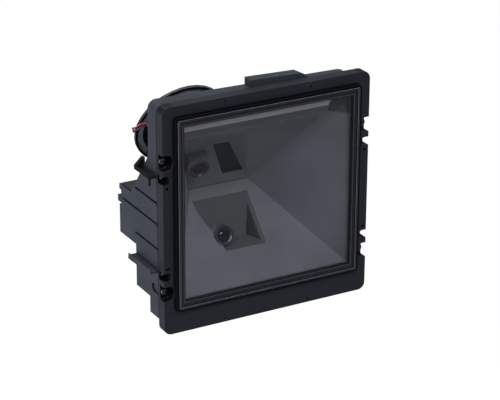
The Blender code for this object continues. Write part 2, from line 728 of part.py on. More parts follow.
def build_funnel():
    """Moulded light funnel: four sloping walls, two camera pockets and a flange."""
    back = VALLEY_DEPTH + VALLEY_WALL
    outer_front = funnel_front + FUNNEL_FLANGE
    funnel = hip("light_funnel", MOUTH_SPREAD, back, FUNNEL_WALL, outer_front, FUNNEL_FLANGE / 2)
    ring = [centred(FUNNEL_FLANGE_WIDTH, FUNNEL_FLANGE_HEIGHT, RIM_CORNER)]
    join(funnel, slab("funnel_flange", ring, funnel_front, funnel_front + FUNNEL_FLANGE))
    collar = [centred(OPENING_WIDTH + 2 * COLLAR_WALL, OPENING_HEIGHT + 2 * COLLAR_WALL, GLASS_CORNER, 1)]
    join(funnel, slab("collar", collar, ledge_front, funnel_front + FUNNEL_FLANGE / 2))
    for kind in ("upper", "lower"):
        join(funnel, loft(f"{kind}_pocket_shell", *pocket_rings(kind, FUNNEL_WALL, FUNNEL_WALL)))
    clear = BARREL_RING_RADIUS + 2 * SEAT
    foot = (0, 0, -FUNNEL_WALL / 2)
    shroud = rod("shroud", clear + SHROUD_WALL, BARREL_FRONT, foot, sides=BARREL_SIDES, parent=lower_camera)
    join(funnel, shroud)
    lead = funnel_front - ledge_front + CUT_OVER
    cut(funnel, hip("funnel_inside", 0, VALLEY_DEPTH, 0, funnel_front, lead))
    for kind in ("upper", "lower"):
        cut(funnel, loft(f"{kind}_pocket", *pocket_rings(kind, 0, 0)))
    for index, (across, height) in enumerate(funnel_screw_places()):
        foot = (across, funnel_front + FUNNEL_FLANGE + CUT_OVER, height)
        deep = FUNNEL_FLANGE + 2 * CUT_OVER
        cut(funnel, rod(f"flange_hole_{index}", PILOT_RADIUS, deep, foot, FACING_FRONT, PILOT_SIDES))
    side_slope = (OPENING_WIDTH / 2 - VALLEY_RIGHT) / (VALLEY_DEPTH - funnel_front)
    step = []
    for depth, edge in ((-CUT_OVER / 2, -1), (-CUT_OVER / 2, 1), (SIDE_STEP_LONG, 1), (SIDE_STEP_LONG, -1)):
        across = OPENING_WIDTH / 2 - side_slope * depth + edge * SIDE_STEP_DEPTH
        step.append((across, funnel_front + depth))
    shape = flat_shape("side_step", [step], SIDE_STEP_TALL)
    cut(funnel, place(shape, (0, 0, SIDE_STEP_HEIGHT + SIDE_STEP_TALL / 2)))
    window = corners(LIGHT_WINDOW, LIGHT_WINDOW_BOTTOM, LIGHT_WINDOW_TOP, 0)
    first = [(across, upper_back_depth(height) - CUT_OVER, height) for across, height in window]
    second = [(across, upper_back_depth(height) + 2 * CUT_OVER, height) for across, height in window]
    cut(funnel, loft("light_window", first, second))
    half = HOLDER_SIZE / 2 + SEAT
    corner = (-half, -half, -2 * CUT_OVER)
    for camera, reach in ((upper_camera, CUT_OVER), (lower_camera, HOLDER_PROUD + SEAT)):
        cut(funnel, box(f"holder_hole_{camera.name}", corner, (half, half, reach), camera))
    deep = BARREL_FRONT + CUT_OVER
    cut(funnel, rod("barrel_way", clear, deep, (0, 0, 0), sides=BARREL_SIDES, parent=lower_camera))
    return finish(funnel, funnel_grey)


def camera_axis(name, across, depth, height, angle):
    """Empty on a pocket's back wall whose Z looks out through the window."""
    axis = bpy.data.objects.new(name, None)
    parts.objects.link(axis)
    return place(axis, (across, depth, height), Euler((angle, 0, 0)))


def build_camera(label, axis):
    """Small camera: board, sensor, lens holder, turned barrel and front lens."""
    board_front = -FUNNEL_WALL - SEAT
    board_back = board_front - BOARD_THICKNESS
    half_width = CAMERA_BOARD_WIDTH / 2
    half_height = CAMERA_BOARD_HEIGHT / 2
    corner = (-half_width, -half_height, board_back)
    finish(box(f"{label}_camera_board", corner, (half_width, half_height, board_front), axis), board_green)
    sensor_back = board_front + SEAT
    half = SENSOR_SIZE / 2
    far = (half, half, sensor_back + SENSOR_THICKNESS)
    finish(box(f"{label}_image_sensor", (-half, -half, sensor_back), far, axis), chip_black)
    half = HOLDER_SIZE / 2
    holder = box(f"{label}_lens_holder", (-half, -half, board_front + SEAT), (half, half, HOLDER_PROUD), axis)
    foot = (0, 0, board_back)
    bore = rod(f"{label}_bore", BARREL_RADIUS + SEAT, 2 * BARREL_FRONT, foot, sides=BARREL_SIDES, parent=axis)
    cut(holder, bore)
    finish(holder, socket_black, 40)
    ring_back = HOLDER_PROUD + SEAT
    pitch = (BARREL_FRONT - ring_back) / BARREL_RINGS
    floor = BARREL_FRONT - BARREL_FLOOR
    profile = [(0, floor), (LENS_RADIUS + SEAT, floor)]
    profile.append((LENS_RADIUS + 3 * SEAT, BARREL_FRONT - LENS_EDGE))
    profile.append((LENS_RADIUS + 6 * SEAT, BARREL_FRONT))
    for turn in range(BARREL_RINGS):
        top = BARREL_FRONT - turn * pitch
        low = top - pitch + BARREL_GROOVE
        profile += [(BARREL_RING_RADIUS, top), (BARREL_RING_RADIUS, low)]
        if turn + 1 < BARREL_RINGS:
            neck = BARREL_RING_RADIUS - BARREL_GROOVE
            profile += [(neck, low), (neck, low - BARREL_GROOVE)]
    sensor_gap = sensor_back + 4 * SENSOR_THICKNESS
    profile += [(BARREL_RING_RADIUS, ring_back), (BARREL_RADIUS, ring_back)]
    profile += [(BARREL_RADIUS, sensor_gap), (0, sensor_gap)]
    finish(turned(f"{label}_lens_barrel", profile, BARREL_SIDES, parent=axis), black_anodised, 40)
    seat = floor + SEAT
    dome = []
    for step in range(5):
        angle = step * pi / 8
        dome.append((LENS_RADIUS * sin(angle), seat + LENS_EDGE + LENS_CROWN * cos(angle)))
    dome += [(LENS_RADIUS, seat), (0, seat)]
    finish(turned(f"{label}_front_lens", dome, BARREL_SIDES, parent=axis), lens_glass, 60)


upper_camera = camera_axis(
    "upper_camera_axis", UPPER_CAMERA_SIDE, upper_back_depth(UPPER_CAMERA_HEIGHT), UPPER_CAMERA_HEIGHT,
    pi / 2 + BAY_TILT)
lower_camera = camera_axis(
    "lower_camera_axis", LOWER_CAMERA_SIDE, lower_back_depth(LOWER_CAMERA_HEIGHT), LOWER_CAMERA_HEIGHT,
    pi / 2 - LOWER_CAMERA_TILT)


def build_light_bar():
    """Light bar under the funnel's ceiling: carrier, LED board, LEDs and diffuser strip."""
    section = [
        (LIGHT_BAR_FRONT, LIGHT_BAR_BOTTOM), (ceiling_less(LIGHT_BAR_BOTTOM, 0), LIGHT_BAR_BOTTOM),
        (ceiling_less(LIGHT_BAR_TOP, 0), LIGHT_BAR_TOP), (LIGHT_BAR_FRONT, LIGHT_BAR_TOP)]
    carrier = light_bar_solid("light_carrier", section, 0)
    inner = LIGHT_BAR_FRONT + LIGHT_BAR_WALL
    floor = LED_BOARD_LEVEL - SEAT
    deep = ceiling_less(floor, LIGHT_BAR_BACK_WALL)
    shallow = ceiling_less(DIFFUSER_TOP + SEAT, LIGHT_BAR_BACK_WALL)
    slot = [
        (LIGHT_BAR_FRONT - CUT_OVER, DIFFUSER_BOTTOM - SEAT), (inner, DIFFUSER_BOTTOM - SEAT), (inner, floor),
        (deep, floor), (shallow, DIFFUSER_TOP + SEAT), (LIGHT_BAR_FRONT - CUT_OVER, DIFFUSER_TOP + SEAT)]
    cut(carrier, light_bar_solid("light_slot", slot, LIGHT_BAR_WALL))
    finish(carrier, funnel_grey)
    front = LIGHT_BAR_FRONT - DIFFUSER_PROUD
    back = front + DIFFUSER_THICKNESS
    strip = [(front, DIFFUSER_BOTTOM), (back, DIFFUSER_BOTTOM), (back, DIFFUSER_TOP), (front, DIFFUSER_TOP)]
    finish(light_bar_solid("light_diffuser", strip, LIGHT_BAR_WALL + SEAT), milky_plastic)
    board_front = inner + SEAT
    board_back = board_front + LED_BOARD_DEPTH
    board_top = LED_BOARD_LEVEL + LED_BOARD_THICKNESS
    left = light_bar_start(board_back) + LIGHT_BAR_WALL + SEAT
    right = light_bar_end(LED_BOARD_LEVEL) - LIGHT_BAR_WALL - SEAT
    far = (right, board_back, board_top)
    finish(box("led_board", (left, board_front, LED_BOARD_LEVEL), far), board_green)
    pitch = (right - left) / LED_COUNT
    low = board_top + SEAT
    for index in range(LED_COUNT):
        across = left + (index + 0.5) * pitch
        corner = (across - LED_LENGTH / 2, board_front + SEAT, low)
        far = (across + LED_LENGTH / 2, board_front + SEAT + LED_DEPTH, low + LED_THICKNESS)
        finish(box(f"led_{index + 1}", corner, far), led_white)


def light_bar_end(height):
    """Right end of the light bar, which slants along the funnel's corner."""
    return LIGHT_BAR_RIGHT + (height - LIGHT_BAR_BOTTOM) * LIGHT_BAR_END_SLOPE


def light_bar_start(depth):
    """Left end of the light bar, which follows the funnel's left wall."""
    slope = (OPENING_WIDTH / 2 + VALLEY_LEFT) / (VALLEY_DEPTH - funnel_front)
    return -OPENING_WIDTH / 2 + slope * (depth - funnel_front) + LIGHT_BAR_SIDE_GAP


def ceiling_less(height, gap):
    """Depth a little in front of the funnel's ceiling."""
    return funnel_depth(height) - LIGHT_BAR_CEILING_GAP - gap


def light_bar_solid(name, section, inset):
    """Prism along the window's top edge, with the light bar's slanting ends less an inset."""
    first = [(light_bar_start(depth) + inset, depth, height) for depth, height in section]
    second = [(light_bar_end(height) - inset, depth, height) for depth, height in section]
    return loft(name, first, second)


def bay_depth(height):
    """Depth of the leaning back wall that carries the speaker, at a height."""
    return BAY_FOOT_DEPTH - (height - DEEP_TOP) * tan(BAY_TILT)


def housing_top(across):
    """Height of the top wall, which falls a little to the right."""
    share = (across - HOUSING_LEFT) / (HOUSING_RIGHT - HOUSING_LEFT)
    return HOUSING_TOP - share * HOUSING_TOP_DROP


def stepped_solid(name, inset, front, back):
    """The housing's stepped body, or its hollow when it is inset by the wall."""
    rings = []
    for across in (HOUSING_LEFT + inset, HOUSING_RIGHT - inset):
        outline = [
            (front - inset, HOUSING_BOTTOM),
            (LOW_STEP_DEPTH, HOUSING_BOTTOM),
            (LOW_STEP_DEPTH, LOW_STEP_HEIGHT),
            (MID_STEP_DEPTH, LOW_STEP_HEIGHT),
            (MID_STEP_DEPTH, DEEP_BOTTOM),
            (back + inset, DEEP_BOTTOM),
            (back + inset, DEEP_TOP),
            (SHOULDER_DEPTH, DEEP_TOP),
            (NECK_DEPTH, NECK_HEIGHT),
            (UPPER_DEPTH, NECK_HEIGHT + UPPER_DEPTH / 8),
            (UPPER_DEPTH, housing_top(across)),
            (front - inset, housing_top(across)),
        ]
        moved = grown(outline, -inset)
        rings.append([(across, depth, height) for depth, height in moved])
    return loft(name, rings[0], rings[1])


def bay_solid(name, inset):
    """The leaning bay behind the upper camera, or its hollow."""
    foot = DEEP_TOP - BAY_UNDERLAP
    front = UPPER_DEPTH / 2
    outline = [(front, foot), (bay_depth(foot), foot), (bay_depth(BAY_TOP), BAY_TOP), (front, BAY_TOP)]
    return bar(name, grown(outline, -inset), BAY_LEFT + inset, BAY_RIGHT - inset)


def lower_bay_solid(name, inset):
    """The bay behind the lower camera, or its hollow."""
    low = (LOWER_BAY_LEFT + inset, LOWER_BAY_FRONT, DEEP_BOTTOM - LOWER_BAY_REACH + inset)
    high = (LOWER_BAY_RIGHT - inset, LOWER_BAY_BACK - inset, DEEP_BOTTOM + HOUSING_WALL + inset / 2)
    return box(name, low, high)


def corner_cut(name, side, inset):
    """What is taken away at a top corner so that it comes out round."""
    edge = HOUSING_RIGHT - inset if side > 0 else HOUSING_LEFT + inset
    top = housing_top(edge) - inset
    radius = HOUSING_CORNER - inset
    middle_across = edge - side * radius
    points = [(edge + side * CUT_OVER, top + CUT_OVER)]
    for step in range(5):
        angle = pi / 2 * step / 4
        points.append((middle_across + side * radius * cos(angle), top - radius + radius * sin(angle)))
    points.insert(1, (edge + side * CUT_OVER, top - radius))
    points.append((middle_across, top + CUT_OVER))
    return slab(name, [points], housing_front - CUT_OVER, MID_STEP_DEPTH)


def cover_screw_places():
    """Where the rear cover is screwed on."""
    for across in (HOUSING_LEFT + COVER_SCREW_INSET, HOUSING_RIGHT - COVER_SCREW_INSET):
        for height in (DEEP_BOTTOM + COVER_SCREW_INSET, DEEP_TOP - COVER_SCREW_INSET):
            yield across, height


def side_recess_outline(height):
    """Outline of the round-ended recess beside the lower left screw, open towards the flange."""
    front = housing_front - CUT_OVER
    middle = housing_front + SIDE_RECESS_LENGTH - SIDE_RECESS_RADIUS
    points = [(front, height - SIDE_RECESS_RADIUS)]
    for step in range(7):
        angle = radians(-90 + 180 * step / 6)
        points.append((middle + SIDE_RECESS_RADIUS * cos(angle), height + SIDE_RECESS_RADIUS * sin(angle)))
    points.append((front, height + SIDE_RECESS_RADIUS))
    return points


def add_hook(housing, name, shelf_height, back, level):
    """L-shaped hook on the left wall: shelf, turned-up lip and a gusset at its rear end."""
    wall = HOUSING_LEFT + HOUSING_WALL / 2
    tip = HOUSING_LEFT - SHELF_REACH
    low = shelf_height - SHELF_THICKNESS / 2
    top = shelf_height + SHELF_THICKNESS / 2
    lip_top = top + SHELF_LIP
    outline = [
        (tip, low), (wall, low), (wall, top), (tip + SHELF_LIP, top),
        (tip + SHELF_LIP / 2, lip_top), (tip, lip_top)]
    join(housing, slab(f"{name}_shelf", [outline], SHELF_FRONT, back))
    edge = top if level > 0 else low
    root = edge - level * SEAT
    rise = edge + level * GUSSET_RISE
    outline = [(tip, root), (wall, root), (wall, rise), (HOUSING_LEFT, rise), (tip, edge + level * SHELF_LIP)]
    if level < 0:
        outline.reverse()
    join(housing, slab(f"{name}_gusset", [outline], back - GUSSET_THICKNESS, back + SEAT))
    if level > 0:
        corner = (tip + SEAT / 2, SHELF_FRONT + SEAT / 2, low - TAB_DROP)
        join(housing, box(f"{name}_tab", corner, (tip + TAB_WIDTH, SHELF_FRONT + TAB_LENGTH, low + SEAT)))


def build_housing():
    """Moulded main housing: stepped body, bays, bosses, side-wall hooks and ribs."""
    housing = stepped_solid("main_housing", 0, housing_front, DEEP_BACK)
    for side, side_name in ((-1, "left"), (1, "right")):
        cut(housing, corner_cut(f"{side_name}_corner", side, 0))
    join(housing, bay_solid("upper_bay", 0))
    join(housing, lower_bay_solid("lower_bay", 0))
    hump_low = HOUSING_TOP - HOUSING_TOP_DROP - CUT_OVER
    hump = [
        (HUMP_LEFT, hump_low), (HUMP_TOE, hump_low), (HUMP_TOE, housing_top(HUMP_TOE) + SEAT),
        (HUMP_RIGHT, HUMP_TOP - HOUSING_TOP_DROP / 2), (HUMP_LEFT, HUMP_TOP)]
    join(housing, slab("top_block", [hump], HUMP_FRONT, UPPER_DEPTH - SEAT))
    add_hook(housing, "upper", UPPER_SHELF_HEIGHT, UPPER_SHELF_BACK, 1)
    add_hook(housing, "lower", LOWER_SHELF_HEIGHT, LOWER_SHELF_BACK, -1)
    for index, (height, back) in enumerate(zip(RIB_HEIGHTS, RIB_BACKS)):
        low = (HOUSING_LEFT - RIB_PROUD, RIB_FRONT, height - RIB_HEIGHT / 2)
        high = (HOUSING_LEFT + HOUSING_WALL / 2, back, height + RIB_HEIGHT / 2)
        join(housing, box(f"rib_{index}", low, high))
        low = (HOUSING_LEFT - CUT_OVER, RIB_FRONT, height + RIB_HEIGHT / 2)
        high = (HOUSING_LEFT + GROOVE_DEPTH, back - GROOVE_DEPTH, height + RIB_HEIGHT / 2 + GROOVE_HEIGHT)
        cut(housing, box(f"groove_{index}", low, high))
    low = (HOUSING_LEFT, DEEP_BACK - LATCH_REACH, LATCH_BOTTOM)
    high = (HOUSING_LEFT + LATCH_WIDTH, DEEP_BACK + LATCH_REACH, LATCH_TOP)
    join(housing, box("latch", low, high))
    for name, side, level in station_places():
        bosses = (
            ("big", BOSS_RADIUS, BOSS_INSET, BIG_SCREW_REACH, BOSS_LENGTH, 16),
            ("small", BOSS_RADIUS * 2 / 3, STATION_INSET, SMALL_SCREW_REACH, BOSS_LENGTH / 2, 12),
        )
        for kind, radius, inset, reach, length, sides in bosses:
            across = side * (FLANGE_WIDTH / 2 - inset)
            middle = STATION_MIDDLE + level * reach
            foot = (across, housing_front + length, middle)
            join(housing, rod(f"{kind}_boss_{name}", radius, length, foot, FACING_FRONT, sides))
            if side > 0:
                low = (HOUSING_RIGHT - HOUSING_WALL / 2, housing_front + SEAT, middle - radius / 2)
                high = (across, housing_front + length - SEAT, middle + radius / 2)
                join(housing, box(f"{kind}_web_{name}", low, high))
    hollow = stepped_solid("hollow", HOUSING_WALL, housing_front - CUT_OVER, DEEP_BACK + CUT_OVER)
    for side, side_name in ((-1, "left"), (1, "right")):
        cut(hollow, corner_cut(f"{side_name}_hollow_corner", side, HOUSING_WALL))
    cut(housing, hollow)
    cut(housing, bay_solid("upper_bay_hollow", HOUSING_WALL))
    cut(housing, lower_bay_solid("lower_bay_hollow", HOUSING_WALL))
    for index, (across, height) in enumerate(cover_screw_places()):
        length = COVER_BOSS_LENGTH
        boss_end = (across, DEEP_BACK - SEAT, height)
        join(housing, rod(f"cover_boss_{index}", COVER_BOSS_RADIUS, length, boss_end, FACING_FRONT, 10))
        foot = (across, DEEP_BACK + CUT_OVER, height)
        cut(housing, rod(f"cover_pilot_{index}", PILOT_RADIUS, length * 0.9, foot, FACING_FRONT, PILOT_SIDES))
    rest_back = MAIN_BOARD_BACK - BOARD_THICKNESS - SEAT
    rest_foot = DEEP_BOTTOM + HOUSING_WALL / 2
    rest_top = DEEP_BOTTOM + HOUSING_WALL + BOARD_REST_HEIGHT
    half = BOARD_REST_WIDTH / 2
    rests = (MAIN_BOARD_LEFT + BOARD_REST_WIDTH, 0, MAIN_BOARD_RIGHT - BOARD_REST_WIDTH)
    for index, across in enumerate(rests):
        low = (across - half, rest_back - BOARD_REST_DEPTH, rest_foot)
        join(housing, box(f"board_rest_{index}", low, (across + half, rest_back, rest_top)))
    for name, side, level in station_places():
        holes = (
            ("big", BIG_SHANK_RADIUS + SEAT, BIG_SCREW_REACH, BIG_RECESS_DEPTH + BIG_SHANK_LENGTH),
            ("small", PILOT_RADIUS, SMALL_SCREW_REACH, SMALL_RECESS_DEPTH + SMALL_SHANK_LENGTH),
        )
        for kind, radius, reach, shank_end in holes:
            deep = shank_end + 2 * SEAT
            foot = (side * station_side, deep, STATION_MIDDLE + level * reach)
            cut(housing, rod(f"{kind}_pilot_{name}", radius, deep, foot, FACING_FRONT, PILOT_SIDES))
    outline = side_recess_outline(STATION_MIDDLE - BIG_SCREW_REACH)
    cut(housing, bar("side_recess", outline, HOUSING_LEFT - CUT_OVER, HOUSING_LEFT + SIDE_RECESS_DEPTH))
    foot = (LEAD_HOLE_SIDE, UPPER_DEPTH + HOUSING_WALL / 2, LEAD_HOLE_HEIGHT)
    cut(housing, rod("lead_hole", LEAD_HOLE_RADIUS, 2 * HOUSING_WALL, foot, FACING_FRONT, 12))
    through = 4 * HOUSING_WALL
    foot = (0, 0, -through / 2)
    cut(housing, rod("sound_opening", SOUND_OPENING_RADIUS, through, foot, parent=speaker_axis))
    for index, (across, down) in enumerate(ear_places()):
        foot = (across, down, -through / 2)
        pilot = rod(f"ear_pilot_{index}", PILOT_RADIUS, through, foot, sides=PILOT_SIDES, parent=speaker_axis)
        cut(housing, pilot)
    return finish(housing, black_abs, 35)


def build_rear_cover():
    """Flat cover that closes the deep block, with a latch slot and a socket window."""
    front = DEEP_BACK + SEAT
    notch_side = HOUSING_LEFT + LATCH_WIDTH + SEAT
    outline = [
        (HOUSING_LEFT, DEEP_BOTTOM), (HOUSING_RIGHT, DEEP_BOTTOM), (HOUSING_RIGHT, DEEP_TOP),
        (HOUSING_LEFT, DEEP_TOP), (HOUSING_LEFT, COVER_NOTCH_TOP), (notch_side, COVER_NOTCH_TOP),
        (notch_side, COVER_NOTCH_BOTTOM), (HOUSING_LEFT, COVER_NOTCH_BOTTOM)]
    cover = slab("rear_cover", [outline], front, front + COVER_THICKNESS)
    half_width = SOCKET_WIDTH / 2 + SEAT
    half_height = SOCKET_HEIGHT / 2 + SEAT
    corner = (SOCKET_SIDE - half_width, front - CUT_OVER, socket_middle - half_height)
    far = (SOCKET_SIDE + half_width, front + COVER_THICKNESS + CUT_OVER, socket_middle + half_height)
    cut(cover, box("socket_window", corner, far))
    for index, (across, height) in enumerate(cover_screw_places()):
        foot = (across, front + 2 * COVER_THICKNESS, height)
        hole = rod(f"cover_hole_{index}", PILOT_RADIUS, 3 * COVER_THICKNESS, foot, FACING_FRONT, PILOT_SIDES)
        cut(cover, hole)
    finish(cover, black_abs)


def screw(name, size, location, rotation, parent=centre):
    """Pan-head screw with a cross recess; its seat is at the given place."""
    radius, head, shank, length = size
    profile = [(0, head), (radius * 0.66, head), (radius, head * 0.4), (radius, 0)]
    profile += [(shank, 0), (shank, -length), (0, -length)]
    made = turned(name, profile, SCREW_SIDES, location, rotation, parent)
    arm = radius * 0.6
    thin = radius * 0.16
    for turn, (wide, tall) in enumerate(((arm, thin), (thin, arm))):
        slot = box(f"{name}_cross_{turn}", (-wide, -tall, head * 0.4), (wide, tall, head * 2), parent)
        slot.parent = made
        cut(made, slot)
    return finish(made, black_steel, 35)


def build_screws():
    """Screws at the flange, the rear cover and the speaker."""
    big = (BIG_HEAD_RADIUS, BIG_HEAD_HEIGHT, BIG_SHANK_RADIUS, BIG_SHANK_LENGTH)
    small = (SMALL_HEAD_RADIUS, SMALL_HEAD_HEIGHT, SMALL_SHANK_RADIUS, SMALL_SHANK_LENGTH)
    for name, side, level in station_places():
        across = side * station_side
        seat = (across, BIG_RECESS_DEPTH - SEAT, STATION_MIDDLE + level * BIG_SCREW_REACH)
        screw(f"big_screw_{name}", big, seat, FACING_FRONT)
        seat = (across, SMALL_RECESS_DEPTH - SEAT, STATION_MIDDLE + level * SMALL_SCREW_REACH)
        screw(f"small_screw_{name}", small, seat, FACING_FRONT)
    facing_back = Euler((-pi / 2, 0, 0))
    depth = DEEP_BACK + SEAT + COVER_THICKNESS + SEAT
    for index, (across, height) in enumerate(cover_screw_places()):
        screw(f"cover_screw_{index + 1}", small, (across, depth, height), facing_back)
    level = basket_foot + SPEAKER_RIM + SEAT
    for index, (across, down) in enumerate(ear_places()):
        screw(f"speaker_screw_{index + 1}", small, (across, down, level), None, speaker_axis)


def build_electronics():
    """Main board with two chips, the speaker plug and the interface socket."""
    low = DEEP_BOTTOM + HOUSING_WALL + MAIN_BOARD_EDGE
    high = DEEP_TOP - HOUSING_WALL - MAIN_BOARD_EDGE
    board_front = MAIN_BOARD_BACK - BOARD_THICKNESS
    board = box("main_board", (MAIN_BOARD_LEFT, board_front, low), (MAIN_BOARD_RIGHT, MAIN_BOARD_BACK, high))
    half_width = SOCKET_WIDTH / 2 + SEAT
    corner = (SOCKET_SIDE - half_width, board_front - CUT_OVER, low - CUT_OVER)
    far = (SOCKET_SIDE + half_width, MAIN_BOARD_BACK + CUT_OVER, socket_middle + SOCKET_HEIGHT / 2 + SEAT)
    cut(board, box("socket_notch", corner, far))
    finish(board, board_green)
    middle = (low + high) / 2 - CHIP_DROP
    chips = (
        ("processor_chip", PROCESSOR_SIDE, PROCESSOR_SIZE, PROCESSOR_SIZE),
        ("memory_chip", MEMORY_SIDE, MEMORY_WIDTH, MEMORY_HEIGHT),
    )
    for name, across, width, height in chips:
        corner = (across - width / 2, board_front - SEAT - PROCESSOR_THICKNESS, middle - height / 2)
        far = (across + width / 2, board_front - SEAT, middle + height / 2)
        finish(box(name, corner, far), chip_black)
    corner = (PLUG_SIDE - PLUG_WIDTH / 2, board_front - SEAT - PLUG_DEPTH, PLUG_LEVEL - PLUG_HEIGHT / 2)
    far = (PLUG_SIDE + PLUG_WIDTH / 2, board_front - SEAT, PLUG_LEVEL + PLUG_HEIGHT / 2)
    plug = box("speaker_plug", corner, far)
    for side in (-1, 1):
        place_at = (PLUG_SIDE + side * LEAD_SPACING / 2, board_front - SEAT - PLUG_DEPTH / 2, PLUG_LEVEL)
        cut(plug, rod(f"plug_hole_{side}", LEAD_RADIUS + SEAT / 2, PLUG_DEPTH, place_at, FACING_FRONT, 8))
    finish(plug, white_nylon)
    back = DEEP_BACK + SEAT + COVER_THICKNESS
    corner = (SOCKET_SIDE - SOCKET_WIDTH / 2, back - SOCKET_DEPTH, socket_middle - SOCKET_HEIGHT / 2)
    far = (SOCKET_SIDE + SOCKET_WIDTH / 2, back, socket_middle + SOCKET_HEIGHT / 2)
    socket = box("interface_socket", corner, far)
    front = back - SOCKET_HOLE_REACH
    floor = socket_middle - SOCKET_HOLE_DEPTH / 2
    half_width = SOCKET_HOLE_WIDTH / 2
    far = (SOCKET_SIDE + half_width, back + CUT_OVER, socket_middle + SOCKET_HOLE_DEPTH / 2)
    cut(socket, box("plug_way", (SOCKET_SIDE - half_width, front, floor), far))
    half_width = LATCH_SLOT_WIDTH / 2
    far = (SOCKET_SIDE + half_width, back + CUT_OVER, floor + CUT_OVER)
    cut(socket, box("plug_latch_way", (SOCKET_SIDE - half_width, front, floor - LATCH_SLOT_DEPTH), far))
    finish(socket, socket_black)


def ear_places():
    """Places of the speaker's screws on its own plane."""
    for angle in EAR_ANGLES:
        yield EAR_REACH * cos(radians(angle)), EAR_REACH * sin(radians(angle))


def build_speaker():
    """Speaker on the leaning wall: gasket, basket with windows, cone and magnet."""
    edge = SPEAKER_RADIUS - SEAT / 2
    hole_edge = edge - SPEAKER_GASKET_WIDTH
    gasket_top = SEAT + SPEAKER_GASKET
    profile = [(edge, gasket_top), (edge, SEAT), (hole_edge, SEAT), (hole_edge, gasket_top)]
    profile.append(profile[0])
    finish(turned("speaker_gasket", profile, SPEAKER_SIDES, parent=speaker_axis), black_foam, 40)
    top = basket_foot + SPEAKER_DEPTH
    inner = CONE_RADIUS + 2 * SEAT
    rim_top = basket_foot + SPEAKER_RIM
    profile = [
        (0, top), (SPEAKER_THROAT_RADIUS, top), (SPEAKER_THROAT_RADIUS + SPEAKER_WALL, top - SPEAKER_WALL),
        (inner + SPEAKER_WALL, rim_top + SPEAKER_WALL), (inner + SPEAKER_WALL, rim_top),
        (SPEAKER_RADIUS, rim_top), (SPEAKER_RADIUS, basket_foot), (inner, basket_foot), (inner, rim_top),
        (SPEAKER_THROAT_RADIUS, top - SPEAKER_WALL), (0, top - SPEAKER_WALL)]
    basket = turned("speaker_basket", profile, SPEAKER_SIDES, parent=speaker_axis)
    for index, (across, down) in enumerate(ear_places()):
        foot = (across, down, basket_foot)
        thick = SPEAKER_RIM - SEAT / 2
        join(basket, rod(f"ear_{index}", EAR_RADIUS, thick, foot, sides=14, parent=speaker_axis))
        foot = (across, down, basket_foot - SPEAKER_RIM)
        deep = 3 * SPEAKER_RIM
        hole = rod(f"ear_hole_{index}", PILOT_RADIUS, deep, foot, sides=PILOT_SIDES, parent=speaker_axis)
        cut(basket, hole)
    for index in range(BASKET_WINDOWS):
        corner = (SPEAKER_THROAT_RADIUS + 2 * SPEAKER_WALL, -SPEAKER_THROAT_RADIUS / 3, rim_top + SEAT)
        far = (inner - SPEAKER_WALL, SPEAKER_THROAT_RADIUS / 3, top)
        window = box(f"basket_window_{index}", corner, far, speaker_axis)
        window.data.transform(Matrix.Translation(window.location))
        window.location = (0, 0, 0)
        window.rotation_euler = (0, 0, (index + 0.5) * 2 * pi / BASKET_WINDOWS)
        cut(basket, window)
    finish(basket, speaker_steel, 35)
    coil = SPEAKER_THROAT_RADIUS * 0.55
    deep = top - 4 * SPEAKER_WALL
    thin = SPEAKER_WALL / 2
    foot = basket_foot
    fold = CONE_RADIUS - 2 * thin
    profile = [
        (0, deep + thin), (coil, deep + thin), (fold, foot + 2 * thin), (CONE_RADIUS, foot + 2 * thin),
        (CONE_RADIUS, foot + thin), (fold, foot + thin), (coil, deep), (0, deep)]
    finish(turned("speaker_cone", profile, CONE_SIDES, parent=speaker_axis), speaker_paper, 40)
    bottom = top + SEAT
    chamfer = SPEAKER_WALL / 2
    profile = [
        (0, bottom + MAGNET_HEIGHT), (MAGNET_RADIUS - chamfer, bottom + MAGNET_HEIGHT),
        (MAGNET_RADIUS, bottom + MAGNET_HEIGHT - chamfer), (MAGNET_RADIUS, bottom), (0, bottom)]
    finish(turned("speaker_magnet", profile, CONE_SIDES, parent=speaker_axis), magnet_grey, 40)


def build_leads():
    """Red and black speaker leads: plug on the board, up the left wall, out at the back, to the rim."""
    mouth = MAIN_BOARD_BACK - BOARD_THICKNESS - SEAT - PLUG_DEPTH
    for name, side, surface in (("red_lead", -1, red_vinyl), ("black_lead", 1, black_vinyl)):
        off = side * LEAD_SPACING / 2
        turn = side * LEAD_TURN
        route = [
            (PLUG_SIDE + off, mouth + PLUG_DEPTH / 2 - SEAT, PLUG_LEVEL),
            (PLUG_SIDE + off, mouth - LEAD_RADIUS, PLUG_LEVEL),
            (PLUG_SIDE + off, mouth - PLUG_DEPTH, PLUG_LEVEL),
        ]
        route += [(HOUSING_LEFT + across + off, depth, height) for across, depth, height in LEAD_INSIDE]
        route += [
            (LEAD_HOLE_SIDE + off, UPPER_DEPTH - 2 * HOUSING_WALL, LEAD_HOLE_HEIGHT - turn),
            (LEAD_HOLE_SIDE + off, UPPER_DEPTH + LEAD_RADIUS, LEAD_HOLE_HEIGHT - turn),
        ]
        spread = off / 2
        for across, down, out in LEAD_BESIDE_SPEAKER:
            beside = Vector((across + spread, down + turn / 2, out - turn * 0.85))
            route.append(tuple(speaker_axis.matrix_basis @ beside))
            spread = 0
        curve = bpy.data.curves.new(name, "CURVE")
        curve.dimensions = "3D"
        curve.bevel_depth = LEAD_RADIUS
        curve.bevel_resolution = 2
        curve.use_fill_caps = True
        points = smooth_route(route, LEAD_STEPS)
        spline = curve.splines.new("POLY")
        spline.points.add(len(points) - 1)
        for point, place_at in zip(spline.points, points):
            point.co = (*place_at, 1)
        lead = bpy.data.objects.new(name, curve)
        lead.parent = centre
        lead.data.materials.append(surface)
        parts.objects.link(lead)


